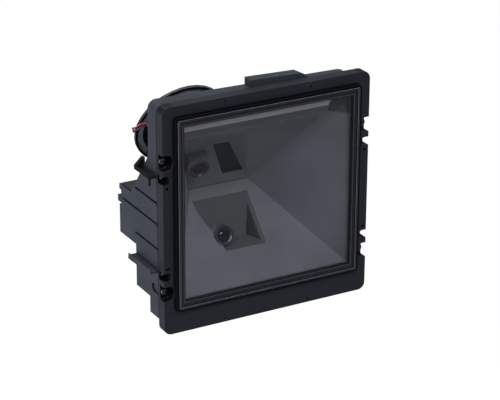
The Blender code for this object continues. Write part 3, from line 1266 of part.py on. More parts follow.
def smooth_route(points, steps):
    """Points of a smooth path through the given places."""
    places = [Vector(point) for point in points]
    path = []
    for index in range(len(places) - 1):
        before = places[max(index - 1, 0)]
        start = places[index]
        end = places[index + 1]
        after = places[min(index + 2, len(places) - 1)]
        for step in range(steps):
            share = step / steps
            leaving = (end - before) / 2 if index else end - start
            arriving = (after - start) / 2 if index + 2 < len(places) else end - start
            square = share * share
            cube = square * share
            path.append(
                (2 * cube - 3 * square + 1) * start + (cube - 2 * square + share) * leaving
                + (3 * square - 2 * cube) * end + (cube - square) * arriving)
    path.append(places[-1])
    return path


socket_middle = (DEEP_BOTTOM + DEEP_TOP) / 2 - SOCKET_HEIGHT / 6
basket_foot = SEAT + SPEAKER_GASKET + SEAT
speaker_axis = camera_axis(
    "speaker_axis", SPEAKER_SIDE, bay_depth(SPEAKER_HEIGHT), SPEAKER_HEIGHT, BAY_TILT - pi / 2)

build_front_frame()
build_window()
build_funnel()
build_camera("upper", upper_camera)
build_camera("lower", lower_camera)
build_light_bar()
build_housing()
build_rear_cover()
build_electronics()
build_speaker()
build_leads()
build_screws()
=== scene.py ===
"""Fixed barcode reader, seen from the front left and a little from above."""
from math import cos, pi, radians, sin

import bmesh
import bpy
from mathutils import Matrix, Vector


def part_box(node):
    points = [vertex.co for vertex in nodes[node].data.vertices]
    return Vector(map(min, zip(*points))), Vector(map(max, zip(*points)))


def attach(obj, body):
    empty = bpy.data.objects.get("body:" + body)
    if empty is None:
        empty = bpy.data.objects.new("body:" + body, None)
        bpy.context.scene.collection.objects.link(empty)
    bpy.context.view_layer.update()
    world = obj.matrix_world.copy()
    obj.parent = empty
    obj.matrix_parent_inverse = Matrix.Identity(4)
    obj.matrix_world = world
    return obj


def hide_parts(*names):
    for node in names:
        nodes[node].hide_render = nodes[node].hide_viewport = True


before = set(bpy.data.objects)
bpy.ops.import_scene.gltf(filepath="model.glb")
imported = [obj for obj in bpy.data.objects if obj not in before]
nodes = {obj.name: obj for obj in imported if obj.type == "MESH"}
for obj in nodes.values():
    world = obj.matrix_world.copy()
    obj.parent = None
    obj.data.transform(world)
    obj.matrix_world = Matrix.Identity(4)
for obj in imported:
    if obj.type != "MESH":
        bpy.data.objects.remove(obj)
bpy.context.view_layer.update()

# Camera: a long lens well away from the reader, so that upright edges stay nearly upright. It is
# turned about a point near the middle of the window.
WINDOW_CENTRE = Vector((0, 0, 0.072))
AIM_OFFSET = Vector((-0.01297, 0, 0.00034))
AZIMUTH = radians(-29.23)
ELEVATION = radians(22.66)
ROLL = radians(0.23)
DISTANCE = 1.2798
SENSOR_WIDTH = 36
PICTURE_WIDTH = 500
FOCAL_PIXELS = 2040
backward = Vector((sin(AZIMUTH) * cos(ELEVATION), -cos(AZIMUTH) * cos(ELEVATION), sin(ELEVATION)))
level = Vector((0, 0, 1)).cross(backward).normalized()
upright = backward.cross(level)
turned_level = level * cos(ROLL) + upright * sin(ROLL)
turned_upright = upright * cos(ROLL) - level * sin(ROLL)
camera = bpy.data.objects.new("camera", bpy.data.cameras.new("camera"))
camera.data.sensor_width = SENSOR_WIDTH
camera.data.lens = FOCAL_PIXELS * SENSOR_WIDTH / PICTURE_WIDTH
camera.data.clip_start = 0.05
camera.data.clip_end = 20
look = Matrix((turned_level, turned_upright, backward)).transposed()
camera.matrix_world = Matrix.Translation(WINDOW_CENTRE + AIM_OFFSET + backward * DISTANCE) @ look.to_4x4()
bpy.context.scene.collection.objects.link(camera)
bpy.context.scene.camera = camera

# Studio: a white surround that gives a low, slightly cool fill, a wide lamp high in front for the
# funnel, a weak one at the left, one low at the left and behind that grazes the housing's side,
# and one above and behind for the top.
FILL = (0.27, 0.285, 0.33, 1)
WHITE = (1, 1, 1, 1)
LAMPS = (
    ("side_lamp", (-1.7, -0.25, 0.3), 0.7, 3.5, (0.94, 0.97, 1.0)),
    ("front_lamp", (0.05, -1.35, 1.50), 0.7, 24, (0.97, 0.98, 1.0)),
    ("left_lamp", (-1.6, 0.30, -0.1), 0.8, 18, (0.92, 0.96, 1.0)),
    ("top_lamp", (-0.2, 0.9, 1.9), 0.9, 18, (0.93, 0.96, 1.0)))
bpy.context.scene.view_settings.view_transform = "Standard"
studio = bpy.data.worlds.new("studio")
bpy.context.scene.world = studio
studio.use_nodes = True
tree = studio.node_tree
paths = tree.nodes.new("ShaderNodeLightPath")
seen = tree.nodes.new("ShaderNodeMath")
seen.operation = "MAXIMUM"
tree.links.new(paths.outputs["Is Camera Ray"], seen.inputs[0])
tree.links.new(paths.outputs["Is Transmission Ray"], seen.inputs[1])
shown = tree.nodes.new("ShaderNodeMix")
shown.data_type = "RGBA"
shown.inputs["A"].default_value = FILL
shown.inputs["B"].default_value = WHITE
tree.links.new(seen.outputs[0], shown.inputs["Factor"])
tree.links.new(shown.outputs["Result"], tree.nodes["Background"].inputs["Color"])
for name, place, size, power, colour in LAMPS:
    light = bpy.data.lights.new(name, "AREA")
    light.size = size
    light.energy = power
    light.color = colour
    lamp = bpy.data.objects.new(name, light)
    lamp.location = place
    lamp.rotation_mode = "QUATERNION"
    lamp.rotation_quaternion = (Vector(place) - WINDOW_CENTRE).to_track_quat("Z", "Y")
    bpy.context.scene.collection.objects.link(lamp)

# Floor: a wide sheet of matt grey paper that sends soft light up from below. To the camera it
# glows white, so that it runs into the surround and keeps only a trace of the shadow.
FLOOR_HEIGHT = -0.4
FLOOR_HALF = 4
FLOOR_GREY = (0.46, 0.46, 0.47, 1)
FLOOR_ROUGHNESS = 0.9
FLOOR_GLOW = 1.03
GLOW_SHARE = 0.97
floor = bpy.data.objects.new("floor", bpy.data.meshes.new("floor"))
corners = [(across * FLOOR_HALF, along * FLOOR_HALF, FLOOR_HEIGHT)
           for across, along in ((-1, -1), (1, -1), (1, 1), (-1, 1))]
floor.data.from_pydata(corners, [], [(0, 1, 2, 3)])
bpy.context.scene.collection.objects.link(floor)
paper = bpy.data.materials.new("floor_paper")
paper.use_nodes = True
tree = paper.node_tree
matt = tree.nodes["Principled BSDF"]
matt.inputs["Base Color"].default_value = FLOOR_GREY
matt.inputs["Roughness"].default_value = FLOOR_ROUGHNESS
glow = tree.nodes.new("ShaderNodeEmission")
glow.inputs["Strength"].default_value = FLOOR_GLOW
blend = tree.nodes.new("ShaderNodeMixShader")
paths = tree.nodes.new("ShaderNodeLightPath")
share = tree.nodes.new("ShaderNodeMath")
share.operation = "MULTIPLY"
share.inputs[1].default_value = GLOW_SHARE
tree.links.new(paths.outputs["Is Camera Ray"], share.inputs[0])
tree.links.new(share.outputs[0], blend.inputs[0])
tree.links.new(matt.outputs[0], blend.inputs[1])
tree.links.new(glow.outputs[0], blend.inputs[2])
tree.links.new(blend.outputs[0], tree.nodes["Material Output"].inputs["Surface"])
floor.data.materials.append(paper)


# Front frame: flange and rim in one moulding of black plastic from a spark-eroded mould. It has a
# fine grain, slow changes of gloss and a little dust on what faces up. The edges of the rim are
# lighter and smoother, a painted highlight, and a mask paints shade into the notches round the screws.
def group(name, inputs, outputs):
    """A node group with named sockets, and its input and output nodes."""
    made = bpy.data.node_groups.new(name, "ShaderNodeTree")
    kinds = {"value": "NodeSocketFloat", "colour": "NodeSocketColor"}
    for label, kind, start in inputs:
        socket = made.interface.new_socket(label, in_out="INPUT", socket_type=kinds[kind])
        socket.default_value = start
    for label, kind in outputs:
        made.interface.new_socket(label, in_out="OUTPUT", socket_type=kinds[kind])
    return made, made.nodes.new("NodeGroupInput"), made.nodes.new("NodeGroupOutput")


def own_place(tree):
    """Coordinates that stay with the piece."""
    return tree.nodes.new("ShaderNodeTexCoord").outputs["Object"]


def facing_way(tree):
    """The direction in which a surface faces."""
    return tree.nodes.new("ShaderNodeNewGeometry").outputs["Normal"]


def parts_of(tree, vector):
    """X, Y and Z of a vector."""
    made = tree.nodes.new("ShaderNodeSeparateXYZ")
    tree.links.new(vector, made.inputs[0])
    return made.outputs


def noise(tree, coordinates, scale, detail=2.0, roughness=0.5):
    """Noise whose scale is in bumps per metre."""
    made = tree.nodes.new("ShaderNodeTexNoise")
    made.inputs["Detail"].default_value = detail
    made.inputs["Roughness"].default_value = roughness
    if isinstance(scale, (int, float)):
        made.inputs["Scale"].default_value = scale
    else:
        tree.links.new(scale, made.inputs["Scale"])
    tree.links.new(coordinates, made.inputs["Vector"])
    return made.outputs["Fac"]


def remap(tree, value, low, high, to_low, to_high):
    """A value from one range to another, kept inside the new one."""
    made = tree.nodes.new("ShaderNodeMapRange")
    ends = (("From Min", low), ("From Max", high), ("To Min", to_low), ("To Max", to_high))
    for label, number in ends:
        made.inputs[label].default_value = number
    tree.links.new(value, made.inputs["Value"])
    return made.outputs["Result"]


def calculate(tree, operation, first, second):
    """One sum on two values, either of which may be a plain number."""
    made = tree.nodes.new("ShaderNodeMath")
    made.operation = operation
    for socket, value in zip(made.inputs, (first, second)):
        if isinstance(value, (int, float)):
            socket.default_value = value
        else:
            tree.links.new(value, socket)
    return made.outputs[0]


def over(tree, value, limit):
    """A mask that is one where a value is over a limit."""
    return calculate(tree, "GREATER_THAN", value, limit)


def under(tree, value, limit):
    """A mask that is one where a value is under a limit."""
    return calculate(tree, "LESS_THAN", value, limit)


def all_of(tree, first, *others):
    """The mask where every given mask is one."""
    for other in others:
        first = calculate(tree, "MULTIPLY", first, other)
    return first


def mix_colours(tree, share, first, second):
    """One colour over another, by a mask or a number."""
    made = tree.nodes.new("ShaderNodeMix")
    made.data_type = "RGBA"
    for label, value in (("Factor", share), ("A", first), ("B", second)):
        if isinstance(value, bpy.types.NodeSocket):
            tree.links.new(value, made.inputs[label])
        elif isinstance(value, tuple):
            made.inputs[label].default_value = (*value, 1)
        else:
            made.inputs[label].default_value = value
    return made.outputs["Result"]


def shader_of(finish):
    """The shader of a material."""
    return finish.node_tree.nodes["Principled BSDF"]


def surface(name, metallic=0.0, specular=0.5):
    """A new material, its node tree and its shader."""
    made = bpy.data.materials.new(name)
    made.use_nodes = True
    shader = shader_of(made)
    shader.inputs["Metallic"].default_value = metallic
    shader.inputs["Specular IOR Level"].default_value = specular
    return made, made.node_tree, shader


def bump(tree, shader, height, strength, distance):
    """Relief on a surface from a height."""
    made = tree.nodes.new("ShaderNodeBump")
    made.inputs["Strength"].default_value = strength
    made.inputs["Distance"].default_value = distance
    tree.links.new(height, made.inputs["Height"])
    tree.links.new(made.outputs["Normal"], shader.inputs["Normal"])


def tone(finish, mask, colour):
    """Lay a colour over what a material already has, by a mask."""
    tree = finish.node_tree
    base = shader_of(finish).inputs["Base Color"]
    tree.links.new(mix_colours(tree, mask, base.links[0].from_socket, colour), base)


GRAIN_DEPTH = 0.0002
moulding, given, result = group(
    "moulded_grain",
    (("Colour", "colour", (0.03, 0.03, 0.03, 1)), ("Roughness", "value", 0.5),
     ("Grain per metre", "value", 2600.0), ("Dust", "value", 0.1)),
    (("Colour", "colour"), ("Roughness", "value"), ("Height", "value")))
where = own_place(moulding)
fine = noise(moulding, where, given.outputs["Grain per metre"], 3.0, 0.6)
slow = noise(moulding, where, 26.0, 3.0, 0.55)
faint = noise(moulding, where, 140.0, 4.0, 0.6)
upward = remap(moulding, parts_of(moulding, facing_way(moulding))["Z"], 0.25, 1.0, 0.0, 1.0)
specks = remap(moulding, faint, 0.45, 0.75, 0.15, 1.0)
dust = all_of(moulding, upward, specks, given.outputs["Dust"])
darker = remap(moulding, slow, 0.3, 0.7, 0.0, 0.22)
lighter = remap(moulding, fine, 0.5, 0.8, 0.0, 0.10)
shade = mix_colours(moulding, darker, given.outputs["Colour"], (0.0, 0.0, 0.0))
speckled = mix_colours(moulding, lighter, shade, (0.35, 0.36, 0.38))
moulding.links.new(mix_colours(moulding, dust, speckled, (0.42, 0.41, 0.39)), result.inputs["Colour"])
rough = calculate(moulding, "ADD", given.outputs["Roughness"], remap(moulding, slow, 0.3, 0.7, -0.06, 0.06))
moulding.links.new(calculate(moulding, "ADD", rough, dust), result.inputs["Roughness"])
moulding.links.new(fine, result.inputs["Height"])


def moulded_plastic(name, colour, roughness, grain, dust, relief=0.35, specular=0.4):
    """A textured moulding in one colour."""
    made, tree, shader = surface(name, specular=specular)
    plastic = tree.nodes.new("ShaderNodeGroup")
    plastic.node_tree = moulding
    plastic.inputs["Colour"].default_value = (*colour, 1)
    plastic.inputs["Roughness"].default_value = roughness
    plastic.inputs["Grain per metre"].default_value = grain
    plastic.inputs["Dust"].default_value = dust
    tree.links.new(plastic.outputs["Colour"], shader.inputs["Base Color"])
    tree.links.new(plastic.outputs["Roughness"], shader.inputs["Roughness"])
    bump(tree, shader, plastic.outputs["Height"], relief, GRAIN_DEPTH)
    return made


MERGE_DISTANCE = 0.000002
FLAT_ANGLE = radians(0.5)
EDGE_ANGLE = radians(50)
FLAT_FACE_WEIGHT = 80


def dress(node, finish, soften=0.0, edge_finish=None):
    """Give a solid its finish and, where the real piece has them, soft edges with their own finish."""
    piece = nodes[node]
    piece.data.materials.clear()
    piece.data.materials.append(finish)
    weld = piece.modifiers.new("weld", "WELD")
    weld.merge_threshold = MERGE_DISTANCE
    flat = piece.modifiers.new("flat_faces", "DECIMATE")
    flat.decimate_type = "DISSOLVE"
    flat.angle_limit = FLAT_ANGLE
    if soften:
        edge = piece.modifiers.new("soft_edges", "BEVEL")
        edge.width = soften
        edge.segments = 2
        edge.limit_method = "ANGLE"
        edge.angle_limit = EDGE_ANGLE
        if edge_finish:
            piece.data.materials.append(edge_finish)
            edge.material = 1
    shading = piece.modifiers.new("shading", "WEIGHTED_NORMAL")
    shading.weight = FLAT_FACE_WEIGHT
    return piece


RIM_FOOT = -0.0004
NOTCH_INNER = 0.0660
NOTCH_OUTER = 0.0738
NOTCH_DEPTH = 0.0010
frame_black = moulded_plastic("frame_black", (0.0125, 0.0142, 0.0195), 0.46, 2600.0, 0.02, specular=0.2)
tree = frame_black.node_tree
place = parts_of(tree, own_place(tree))
aside = calculate(tree, "ABSOLUTE", place["X"], 0)
# Painted shade: the notches round the screws are darkened to near black.
notch_shade = all_of(tree, over(tree, aside, NOTCH_INNER), under(tree, aside, NOTCH_OUTER),
                 over(tree, place["Y"], NOTCH_DEPTH))
tone(frame_black, notch_shade, (0.0035, 0.0038, 0.005))
# The lighter edge finish is a painted highlight on the rim's edges; behind the rim's foot it is toned back
# to the frame's own black.
rim_painted_highlight = moulded_plastic("rim_painted_highlight", (0.36, 0.37, 0.41), 0.28, 900.0, 0.0, 0.1)
tree = rim_painted_highlight.node_tree
behind_rim = over(tree, parts_of(tree, own_place(tree))["Y"], RIM_FOOT)
tone(rim_painted_highlight, behind_rim, (0.014, 0.0158, 0.021))
dress("front_frame", frame_black, 0.00035, rim_painted_highlight)


# Housing and rear cover: the same plastic with a rougher grain and more blue in it, a little
# lighter along its edges as a painted highlight. Masks paint near black shade onto the upper hook's
# shelf and into the grooves.
def within(tree, place, low, high):
    """A mask that is one between two corners."""
    sides = []
    for axis, least, most in zip("XYZ", low, high):
        sides += [over(tree, place[axis], least), under(tree, place[axis], most)]
    return all_of(tree, *sides)


SHELF_LOW = (-0.081, 0.0, 0.0895)
SHELF_HIGH = (-0.0743, 0.034, 0.1065)
GROOVE_LOW = (-0.0738, 0.0095, 0.040)
GROOVE_HIGH = (-0.0726, 0.0585, 0.080)
SHADE_SHARE = 0.92
SHADE_ROUGHNESS = 0.9
housing_black = moulded_plastic("housing_black", (0.033, 0.0368, 0.049), 0.42, 2200.0, 0.04, specular=0.2)
tree = housing_black.node_tree
place = parts_of(tree, own_place(tree))
# Painted shade: the upper hook's shelf and the grooves are darkened to near black and made dull.
painted_shade = calculate(tree, "MAXIMUM", within(tree, place, SHELF_LOW, SHELF_HIGH),
                 within(tree, place, GROOVE_LOW, GROOVE_HIGH))
tone(housing_black, calculate(tree, "MULTIPLY", painted_shade, SHADE_SHARE), (0.003, 0.0024, 0.0024))
gloss = shader_of(housing_black).inputs["Roughness"]
dull = calculate(tree, "MULTIPLY", painted_shade, SHADE_ROUGHNESS)
tree.links.new(calculate(tree, "MAXIMUM", gloss.links[0].from_socket, dull), gloss)
# The lighter edge finish is a painted highlight along the edges of the housing and cover.
housing_painted_highlight = moulded_plastic("housing_painted_highlight", (0.065, 0.070, 0.088), 0.32, 900.0, 0.02, 0.1)
cover_black = moulded_plastic("cover_black", (0.026, 0.029, 0.038), 0.48, 2400.0, 0.04)
dress("main_housing", housing_black, 0.0003, housing_painted_highlight)
dress("rear_cover", cover_black, 0.0003, housing_painted_highlight)

# Light funnel and the carrier of the light bar: mouldings in dark grey, smoother than the housing,
# so that the funnel's slopes carry a soft sheen. Their edges are lighter, a painted highlight. Masks
# paint shade into the lower pocket, deeper shade on its right wall and shade into the step at the
# upper right, and paint a dark line above the ledge.
MOUTH_DEPTH = 0.0045
MOUTH_HALF = 0.05835
VALLEY_DEPTH = 0.0536
VALLEY_HEIGHT = -0.0092
POCKET_CLEAR = 0.0007
STEP_SIDE = 0.0405
STEP_FOOT = 0.0440
LEFTWARD = -0.3
LINE_LOW = (-0.05, 0.04, 0.0631)
LINE_HIGH = (0.0145, 0.058, 0.0637)
funnel_grey = moulded_plastic("funnel_grey", (0.44, 0.445, 0.50), 0.42, 1800.0, 0.0, 0.2)
# The lighter edge finish is a painted highlight along the edges of the funnel and carrier.
funnel_painted_highlight = moulded_plastic("funnel_painted_highlight", (0.70, 0.70, 0.76), 0.35, 900.0, 0.0, 0.1)
carrier_grey = moulded_plastic("carrier_grey", (0.20, 0.20, 0.22), 0.5, 1800.0, 0.0, 0.2)
tree = funnel_grey.node_tree
place = parts_of(tree, own_place(tree))
height = calculate(tree, "SUBTRACT", place["Z"], WINDOW_CENTRE.z)
depth = calculate(tree, "SUBTRACT", place["Y"], POCKET_CLEAR)
slope_depth = remap(tree, height, -MOUTH_HALF, VALLEY_HEIGHT, MOUTH_DEPTH, VALLEY_DEPTH)
pocket_shade = all_of(tree, under(tree, height, VALLEY_HEIGHT), over(tree, depth, slope_depth))
step = all_of(tree, over(tree, place["X"], STEP_SIDE), over(tree, height, STEP_FOOT))
right_wall_shade = all_of(tree, pocket_shade, under(tree, parts_of(tree, facing_way(tree))["X"], LEFTWARD))
# Painted shade: the lower pocket and the step at the upper right are darkened, the pocket's right wall
# more.
tone(funnel_grey, calculate(tree, "MAXIMUM", pocket_shade, step), (0.185, 0.188, 0.200))
tone(funnel_grey, right_wall_shade, (0.040, 0.041, 0.046))
tone(funnel_grey, within(tree, place, LINE_LOW, LINE_HIGH), (0.03, 0.03, 0.034))
dress("light_funnel", funnel_grey, 0.0002, funnel_painted_highlight)
dress("light_carrier", carrier_grey, 0.0002, funnel_painted_highlight)


# Diffuser strip: milky acrylic, faintly mottled, pushed into the slot of the light bar. It has a faint
# painted glow, though the LEDs behind it are not lit. They are ceramic chips under yellow phosphor.
def mottled(name, first, second, gloss, scale, detail=2.0, broken=0.5, metallic=0.0, relief=None):
    """A material whose colour and roughness follow one noise."""
    made, tree, shader = surface(name, metallic)
    cloud = noise(tree, own_place(tree), scale, detail, broken)
    tree.links.new(mix_colours(tree, cloud, first, second), shader.inputs["Base Color"])
    tree.links.new(remap(tree, cloud, 0.3, 0.7, *gloss), shader.inputs["Roughness"])
    if relief:
        bump(tree, shader, cloud, *relief)
    return made


LED_COUNT = 4
milky_painted_glow = mottled("milky_strip", (0.82, 0.82, 0.88), (0.92, 0.92, 0.96), (0.30, 0.42), 500.0, 3.0)
shader = shader_of(milky_painted_glow)
shader.inputs["Subsurface Weight"].default_value = 0.2
shader.inputs["Subsurface Radius"].default_value = (0.001, 0.001, 0.001)
# Painted light: a faint glow, though nothing behind the strip is lit.
shader.inputs["Emission Color"].default_value = (0.9, 0.92, 1.0, 1)
shader.inputs["Emission Strength"].default_value = 0.08
phosphor = mottled(
    "led_phosphor", (0.80, 0.62, 0.10), (0.86, 0.80, 0.45), (0.35, 0.6), 2500.0, 4.0, 0.6)
dress("light_diffuser", milky_painted_glow, 0.0002)
for number in range(1, LED_COUNT + 1):
    dress(f"led_{number}", phosphor, 0.0001)

# Window: smoked acrylic, cut to a rectangle with a polished chamfer and let into the rim. A black
# border is printed on its back and hides the tape, and a finer line runs inside the border.
BORDER_SIDE = 0.0602
BORDER_END = 0.0581
LINE_OFFSET = 0.0009
LINE_HALF = 0.00022
TINT = 0.30
smoked, tree, shader = surface("smoked_window", specular=0.35)
where = own_place(tree)
place = parts_of(tree, where)
height = calculate(tree, "SUBTRACT", place["Z"], WINDOW_CENTRE.z)
past_side = calculate(tree, "SUBTRACT", calculate(tree, "ABSOLUTE", place["X"], 0), BORDER_SIDE)
past_end = calculate(tree, "SUBTRACT", calculate(tree, "ABSOLUTE", height, 0), BORDER_END)
outside = calculate(tree, "MAXIMUM", past_side, past_end)
border = over(tree, outside, 0.0)
off_line = calculate(tree, "ABSOLUTE", calculate(tree, "SUBTRACT", outside, LINE_OFFSET), 0)
line = under(tree, off_line, LINE_HALF)
film = noise(tree, where, 90.0, 4.0, 0.6)
printed = mix_colours(tree, line, (0.004, 0.0042, 0.005), (0.050, 0.051, 0.058))
tree.links.new(mix_colours(tree, border, (0.018, 0.018, 0.020), printed), shader.inputs["Base Color"])
tree.links.new(remap(tree, film, 0.3, 0.7, 0.03, 0.07), shader.inputs["Roughness"])
tree.links.new(remap(tree, border, 0.0, 1.0, TINT, 1.0), shader.inputs["Alpha"])
polished = moulded_plastic(
    "window_chamfer", (0.060, 0.062, 0.070), 0.12, 900.0, 0.0, 0.05, specular=0.5)
dress("window_panel", smoked, 0.0003, polished)

# Foam round the rim and under the speaker: black and without gloss, cut from closed-cell sheet,
# so its skin is pitted. The window sits on a grey acrylic tape, whose cut edge shows as a light
# line along the opening.
CELLS_PER_METRE = 2400
foam, tree, shader = surface("black_foam", specular=0.1)
cells = tree.nodes.new("ShaderNodeTexVoronoi")
cells.inputs["Scale"].default_value = CELLS_PER_METRE
tree.links.new(own_place(tree), cells.inputs["Vector"])
pits = cells.outputs["Distance"]
tree.links.new(mix_colours(tree, pits, (0.0015, 0.0015, 0.002), (0.005, 0.005, 0.006)),
               shader.inputs["Base Color"])
tree.links.new(remap(tree, pits, 0.0, 1.0, 0.85, 1.0), shader.inputs["Roughness"])
bump(tree, shader, pits, 0.6, 0.0003)
tape_grey = moulded_plastic("tape_grey", (0.50, 0.50, 0.54), 0.6, 1500.0, 0.0, 0.2)
dress("panel_gasket", foam)
dress("speaker_gasket", foam)
dress("window_tape", tape_grey)


# Screws: pan heads of black-oxide steel, headed and thread-rolled, with a tapered cross recess.
# Each takes the place of its plain solid. Oil and handling leave the heads unevenly dull.
def lathe(name, profile, sides):
    """A mesh turned about Z from a profile of (radius, height), smooth but for its sharp corners."""
    work = bmesh.new()
    chain = [work.verts.new((radius, 0, height)) for radius, height in profile]
    edges = [work.edges.new(pair) for pair in zip(chain, chain[1:])]
    bmesh.ops.spin(work, geom=chain + edges, cent=(0, 0, 0), axis=(0, 0, 1), angle=2 * pi, steps=sides)
    bmesh.ops.remove_doubles(work, verts=work.verts, dist=MERGE_DISTANCE)
    bmesh.ops.recalc_face_normals(work, faces=work.faces)
    mesh = bpy.data.meshes.new(name)
    work.to_mesh(mesh)
    work.free()
    return smooth(mesh)


def smooth(mesh):
    """Smooth shading that breaks at sharp corners."""
    mesh.shade_smooth()
    mesh.set_sharp_from_angle(angle=SHARP_ANGLE)
    return mesh


def dome(radius, rise, steps):
    """Profile of a dome that falls from its top at height 0."""
    angles = [radians(90) * step / steps for step in range(steps + 1)]
    return [(radius * sin(angle), -rise + rise * cos(angle)) for angle in angles]


def axis_of(node, out):
    """Frame on a solid's axis with Z along it: its origin lies at the end that is furthest out."""
    out = Vector(out).normalized()
    side = out.orthogonal().normalized()
    other = out.cross(side)
    spots = [vertex.co for vertex in nodes[node].data.vertices]
    place = out * max(spot.dot(out) for spot in spots)
    for direction in (side, other):
        reach = [spot.dot(direction) for spot in spots]
        place += direction * ((min(reach) + max(reach)) / 2)
    turn = Matrix((side, other, out)).transposed().to_4x4()
    return Matrix.Translation(place) @ turn


def add_piece(name, mesh, finish, place, *replaced):
    """A visible piece that rides with the reader, in place of its plain solid where it has one."""
    piece = bpy.data.objects.new(name, mesh)
    piece.matrix_world = place
    bpy.context.scene.collection.objects.link(piece)
    if not mesh.materials:
        mesh.materials.append(finish)
    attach(piece, "root")
    if replaced:
        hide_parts(*replaced)


def block(low, high, taper):
    """A mesh block between two corners whose low end is narrower."""
    middle = [(least + most) / 2 for least, most in zip(low, high)]
    half = [(most - least) / 2 for least, most in zip(low, high)]
    work = bmesh.new()
    bmesh.ops.create_cube(work, size=1)
    for vertex in work.verts:
        share = taper if vertex.co.z < 0 else 1.0
        vertex.co = [centre + 2 * way * size for centre, way, size in zip(middle, vertex.co, half)]
        vertex.co.x = middle[0] + (vertex.co.x - middle[0]) * share
        vertex.co.y = middle[1] + (vertex.co.y - middle[1]) * share
    mesh = bpy.data.meshes.new("block")
    work.to_mesh(mesh)
    work.free()
    return mesh


def cut_away(mesh, cutters):
    """The mesh less the cutter meshes."""
    base = bpy.data.objects.new("cut_base", mesh)
    bpy.context.scene.collection.objects.link(base)
    used = [base]
    for cutter in cutters:
        tool = bpy.data.objects.new("cut_tool", cutter)
        bpy.context.scene.collection.objects.link(tool)
        step = base.modifiers.new("cut", "BOOLEAN")
        step.object = tool
        step.solver = "EXACT"
        used.append(tool)
    bpy.context.view_layer.update()
    result = bpy.data.meshes.new_from_object(base.evaluated_get(bpy.context.evaluated_depsgraph_get()))
    for piece in used:
        bpy.data.objects.remove(piece, do_unlink=True)
    return smooth(result)


SHARP_ANGLE = radians(30)
SCREW_SIZES = (("big", 0.0028, 0.0019, 0.0015, 0.0100), ("small", 0.0019, 0.0013, 0.0010, 0.0060))
SCREW_SIDES = 40
CROWN_STEPS = 8
CROWN_SHARE = 0.62
HEAD_CHAMFER = 0.00008
THREAD_PITCH = 0.0005
ROOT_SHARE = 0.86
TIP_SHARE = 0.4
CROSS_LENGTH = 0.58
CROSS_WIDTH = 0.13
CROSS_TAPER = 0.62
FIRST_TURN = 17
NEXT_TURN = 37
SPEAKER_OUT = (0, 0.91, 0.4147)
oxide = mottled(
    "black_oxide", (0.030, 0.030, 0.034), (0.12, 0.12, 0.13), (0.20, 0.38), 900.0, 4.0, 0.6,
    metallic=1.0, relief=(0.1, 0.0001))
screw_meshes = {}
for size, radius, head, shank, length in SCREW_SIZES:
    root = shank * ROOT_SHARE
    crown = head * CROWN_SHARE
    profile = dome(radius, crown, CROWN_STEPS)
    profile += [(radius, -head + HEAD_CHAMFER), (radius - HEAD_CHAMFER, -head), (shank, -head)]
    turns = int((length - shank) / THREAD_PITCH)
    for turn in range(turns):
        start = -head - turn * THREAD_PITCH
        profile += [(shank, start - THREAD_PITCH * 0.15), (root, start - THREAD_PITCH * 0.5),
                    (shank, start - THREAD_PITCH * 0.85)]
    end = -head - length
    profile += [(root, -head - turns * THREAD_PITCH), (shank * TIP_SHARE, end), (0, end)]
    wide = radius * CROSS_LENGTH
    thin = radius * CROSS_WIDTH
    cross = [block((-wide, -thin, -crown), (wide, thin, head), CROSS_TAPER),
             block((-thin, -wide, -crown), (thin, wide, head), CROSS_TAPER)]
    screw_meshes[size] = cut_away(lathe(f"{size}_screw", profile, SCREW_SIDES), cross)
for name in [name for name in nodes if "screw" in name]:
    out = (0, -1, 0)
    if name.startswith("cover"):
        out = (0, 1, 0)
    elif name.startswith("speaker"):
        out = SPEAKER_OUT
    size = "big" if name.startswith("big") else "small"
    turn = Matrix.Rotation(radians(FIRST_TURN + NEXT_TURN * len(name)), 4, "Z")
    add_piece(f"{name}_detail", screw_meshes[size], oxide, axis_of(name, out) @ turn, name)

# Lenses of the two cameras: black anodised barrels turned with fine grooves between ridges that are
# painted bright and smoother as a highlight, and a coated front lens with a violet bloom. Each looks
# out through its pocket.
LOOKS = (("upper", (0, -0.91, -0.4147)), ("lower", (0, -0.8949, 0.4462)))
BARREL_RADIUS = 0.0070
BARREL_SIDES = 64
BARREL_EDGE = 0.0002
NECK_RADIUS = 0.0060
NECK_END = 0.0072
RING_LENGTH = 0.0044
GROOVES = 7
GROOVE_START = 0.0005
GROOVE_PITCH = 0.00055
GROOVE_DEPTH = 0.00018
RIDGE_DEPTH = 0.0001
RIDGE_START = 0.0004
RIDGE_POLISH = 0.12
LENS_RADIUS = 0.0042
LENS_FLOOR = 0.0022
LENS_RISE = 0.0016
LENS_FOOT = 0.0018
DOME_STEPS = 12
anodised = mottled(
    "black_anodised", (0.10, 0.10, 0.11), (0.22, 0.22, 0.24), (0.28, 0.42), 1400.0, 3.0, 0.6,
    metallic=0.85, relief=(0.15, 0.0001))
tree = anodised.node_tree
place = parts_of(tree, own_place(tree))
reach = calculate(tree, "ADD", calculate(tree, "MULTIPLY", place["X"], place["X"]),
                  calculate(tree, "MULTIPLY", place["Y"], place["Y"]))
ridge_highlight = all_of(tree, over(tree, reach, (BARREL_RADIUS - RIDGE_DEPTH) ** 2),
                under(tree, place["Z"], -RIDGE_START))
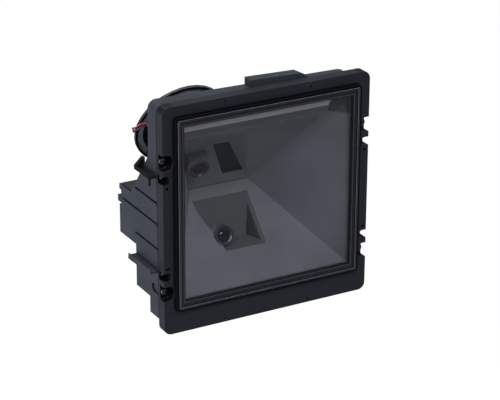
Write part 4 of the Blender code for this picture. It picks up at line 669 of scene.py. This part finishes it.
# Painted highlight: the ridges are made bright to stand in for their glints.
tone(anodised, ridge_highlight, (0.80, 0.80, 0.84))
gloss = shader_of(anodised).inputs["Roughness"]
brighter = calculate(tree, "MULTIPLY", ridge_highlight, RIDGE_POLISH)
tree.links.new(calculate(tree, "SUBTRACT", gloss.links[0].from_socket, brighter), gloss)
profile = [(0, -LENS_FLOOR)]
for wider, fall in ((0.0003, LENS_FLOOR), (0.0003, 0.0014), (0.0007, 0.0012), (0.0007, 0.0008),
                    (0.0013, 0.0006), (0.0015, 0.00012), (0.0016, 0)):
    profile.append((LENS_RADIUS + wider, -fall))
profile += [(BARREL_RADIUS - BARREL_EDGE, 0), (BARREL_RADIUS, -BARREL_EDGE)]
for groove in range(GROOVES):
    start = -GROOVE_START - groove * GROOVE_PITCH
    profile += [(BARREL_RADIUS, start), (BARREL_RADIUS - GROOVE_DEPTH, start - 0.00012),
                (BARREL_RADIUS - GROOVE_DEPTH, start - 0.0003), (BARREL_RADIUS, start - 0.00042)]
profile += [(BARREL_RADIUS, -RING_LENGTH), (NECK_RADIUS, -RING_LENGTH), (NECK_RADIUS, -NECK_END),
            (0, -NECK_END)]
barrel_mesh = lathe("lens_barrel", profile, BARREL_SIDES)
profile = dome(LENS_RADIUS, LENS_RISE, DOME_STEPS) + [(LENS_RADIUS, -LENS_FOOT), (0, -LENS_FOOT)]
glass_mesh = lathe("front_lens", profile, BARREL_SIDES)
coated = mottled("coated_lens", (0.010, 0.008, 0.022), (0.022, 0.016, 0.045), (0.03, 0.06), 400.0)
for label, out in LOOKS:
    barrel = f"{label}_lens_barrel"
    glass = f"{label}_front_lens"
    add_piece(f"{label}_barrel_detail", barrel_mesh, anodised, axis_of(barrel, out), barrel)
    add_piece(f"{label}_lens_detail", glass_mesh, coated, axis_of(glass, out), glass)

# Speaker: a drawn basket in black paint, with a lighter grey painted as light on the side that faces
# the housing, a cone of black paper and a ferrite magnet. It is screwed by two ears to the housing's
# leaning wall.
PAINTED_LIGHT_FACING = 0.6
basket_paint_and_light = mottled(
    "zinc_steel", (0.38, 0.40, 0.45), (0.55, 0.57, 0.62), (0.32, 0.5), 260.0, 5.0, 0.6,
    relief=(0.1, 0.0002))
tree = basket_paint_and_light.node_tree
facing = tree.nodes.new("ShaderNodeVectorMath")
facing.operation = "DOT_PRODUCT"
tree.links.new(facing_way(tree), facing.inputs[0])
facing.inputs[1].default_value = [-part for part in SPEAKER_OUT]
# Painted light: grey where the basket faces the housing, black paint elsewhere.
tone(basket_paint_and_light, under(tree, facing.outputs["Value"], PAINTED_LIGHT_FACING), (0.012, 0.013, 0.016))
cone_paper = moulded_plastic("cone_paper", (0.012, 0.012, 0.014), 0.85, 1200.0, 0.0, 0.5, specular=0.2)
ferrite = moulded_plastic("ferrite", (0.045, 0.045, 0.050), 0.55, 1800.0, 0.02)
dress("speaker_basket", basket_paint_and_light, 0.0002)
dress("speaker_magnet", ferrite, 0.0002)
dress("speaker_cone", cone_paper)

# Speaker leads: stranded wire in soft PVC, one red and one black, from the plug on the main board
# through a hole in the housing to the speaker.
for name, colour in (("red_lead", (0.34, 0.012, 0.028)), ("black_lead", (0.012, 0.012, 0.014))):
    lead = dress(name, moulded_plastic(f"{name}_vinyl", colour, 0.32, 1500.0, 0.0, 0.1))
    round_off = lead.modifiers.new("round", "SUBSURF")
    round_off.levels = 1
    round_off.render_levels = 1

# Electronics: boards of glass fibre under green solder mask, with copper that shows through,
# black epoxy chips, grey holders for the lenses, a black socket and a white nylon plug.
TRACKS_PER_METRE = 260
TRACK_SHARE = 0.09
solder_mask, tree, shader = surface("solder_mask")
where = own_place(tree)
weave = noise(tree, where, 1500.0)
tracks = tree.nodes.new("ShaderNodeTexVoronoi")
tracks.distance = "CHEBYCHEV"
tracks.feature = "DISTANCE_TO_EDGE"
tracks.inputs["Scale"].default_value = TRACKS_PER_METRE
tree.links.new(where, tracks.inputs["Vector"])
copper = under(tree, tracks.outputs["Distance"], TRACK_SHARE)
board = mix_colours(tree, copper, (0.008, 0.060, 0.028), (0.014, 0.115, 0.050))
darker = remap(tree, weave, 0.3, 0.7, 0.0, 0.2)
tree.links.new(mix_colours(tree, darker, board, (0.004, 0.03, 0.015)), shader.inputs["Base Color"])
tree.links.new(remap(tree, weave, 0.3, 0.7, 0.25, 0.4), shader.inputs["Roughness"])
bump(tree, shader, copper, 0.2, 0.00004)
epoxy = moulded_plastic("chip_epoxy", (0.018, 0.018, 0.019), 0.5, 3000.0, 0.0)
holder_grey = moulded_plastic("holder_grey", (0.30, 0.30, 0.33), 0.4, 1800.0, 0.0)
socket_black = moulded_plastic("socket_black", (0.018, 0.018, 0.020), 0.35, 1500.0, 0.02)
nylon = moulded_plastic("white_nylon", (0.72, 0.71, 0.66), 0.45, 1500.0, 0.0, 0.1)
for finish, soften, names in (
        (solder_mask, 0.0001, ("main_board", "led_board", "upper_camera_board", "lower_camera_board")),
        (epoxy, 0.0002, ("processor_chip", "memory_chip", "upper_image_sensor", "lower_image_sensor")),
        (holder_grey, 0.0003, ("upper_lens_holder", "lower_lens_holder")),
        (socket_black, 0.0002, ("interface_socket",)),
        (nylon, 0.0002, ("speaker_plug",))):
    for name in names:
        dress(name, finish, soften)

# Contacts of the interface socket: eight gold-plated spring wires, bent so that they lean into the
# opening. Their path is given by the depth behind the socket's face and the height over its middle.
CONTACTS = 8
CONTACT_PITCH = 0.00102
CONTACT_HALF = 0.0002
CONTACT_PATH = ((0.0112, 0.0030), (0.0040, 0.0030), (0.0030, 0.0024), (0.0080, -0.0006), (0.0100, -0.0012))
gold = mottled(
    "gold_plate", (0.72, 0.46, 0.14), (0.86, 0.60, 0.22), (0.16, 0.28), 1200.0, metallic=1.0)
low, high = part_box("interface_socket")
middle = (low[0] + high[0]) / 2
centre_height = (low[2] + high[2]) / 2
path = [Vector((high[1] - depth, centre_height + rise)) for depth, rise in CONTACT_PATH]
work = bmesh.new()
for contact in range(CONTACTS):
    across = middle + (contact - (CONTACTS - 1) / 2) * CONTACT_PITCH
    rings = []
    for index, (depth, rise) in enumerate(path):
        before = path[max(index - 1, 0)]
        after = path[min(index + 1, len(path) - 1)]
        along = (after - before).normalized() * CONTACT_HALF
        ring = [(across + side * CONTACT_HALF, depth - way * along.y, rise + way * along.x)
                for side, way in ((-1, -1), (1, -1), (1, 1), (-1, 1))]
        rings.append([work.verts.new(corner) for corner in ring])
    for first, second in zip(rings, rings[1:]):
        for corner in range(4):
            following = (corner + 1) % 4
            work.faces.new((first[corner], first[following], second[following], second[corner]))
    work.faces.new(rings[0])
    work.faces.new(rings[-1])
bmesh.ops.recalc_face_normals(work, faces=work.faces)
contact_mesh = bpy.data.meshes.new("socket_contacts")
work.to_mesh(contact_mesh)
work.free()
add_piece("socket_contacts", contact_mesh, gold, Matrix())
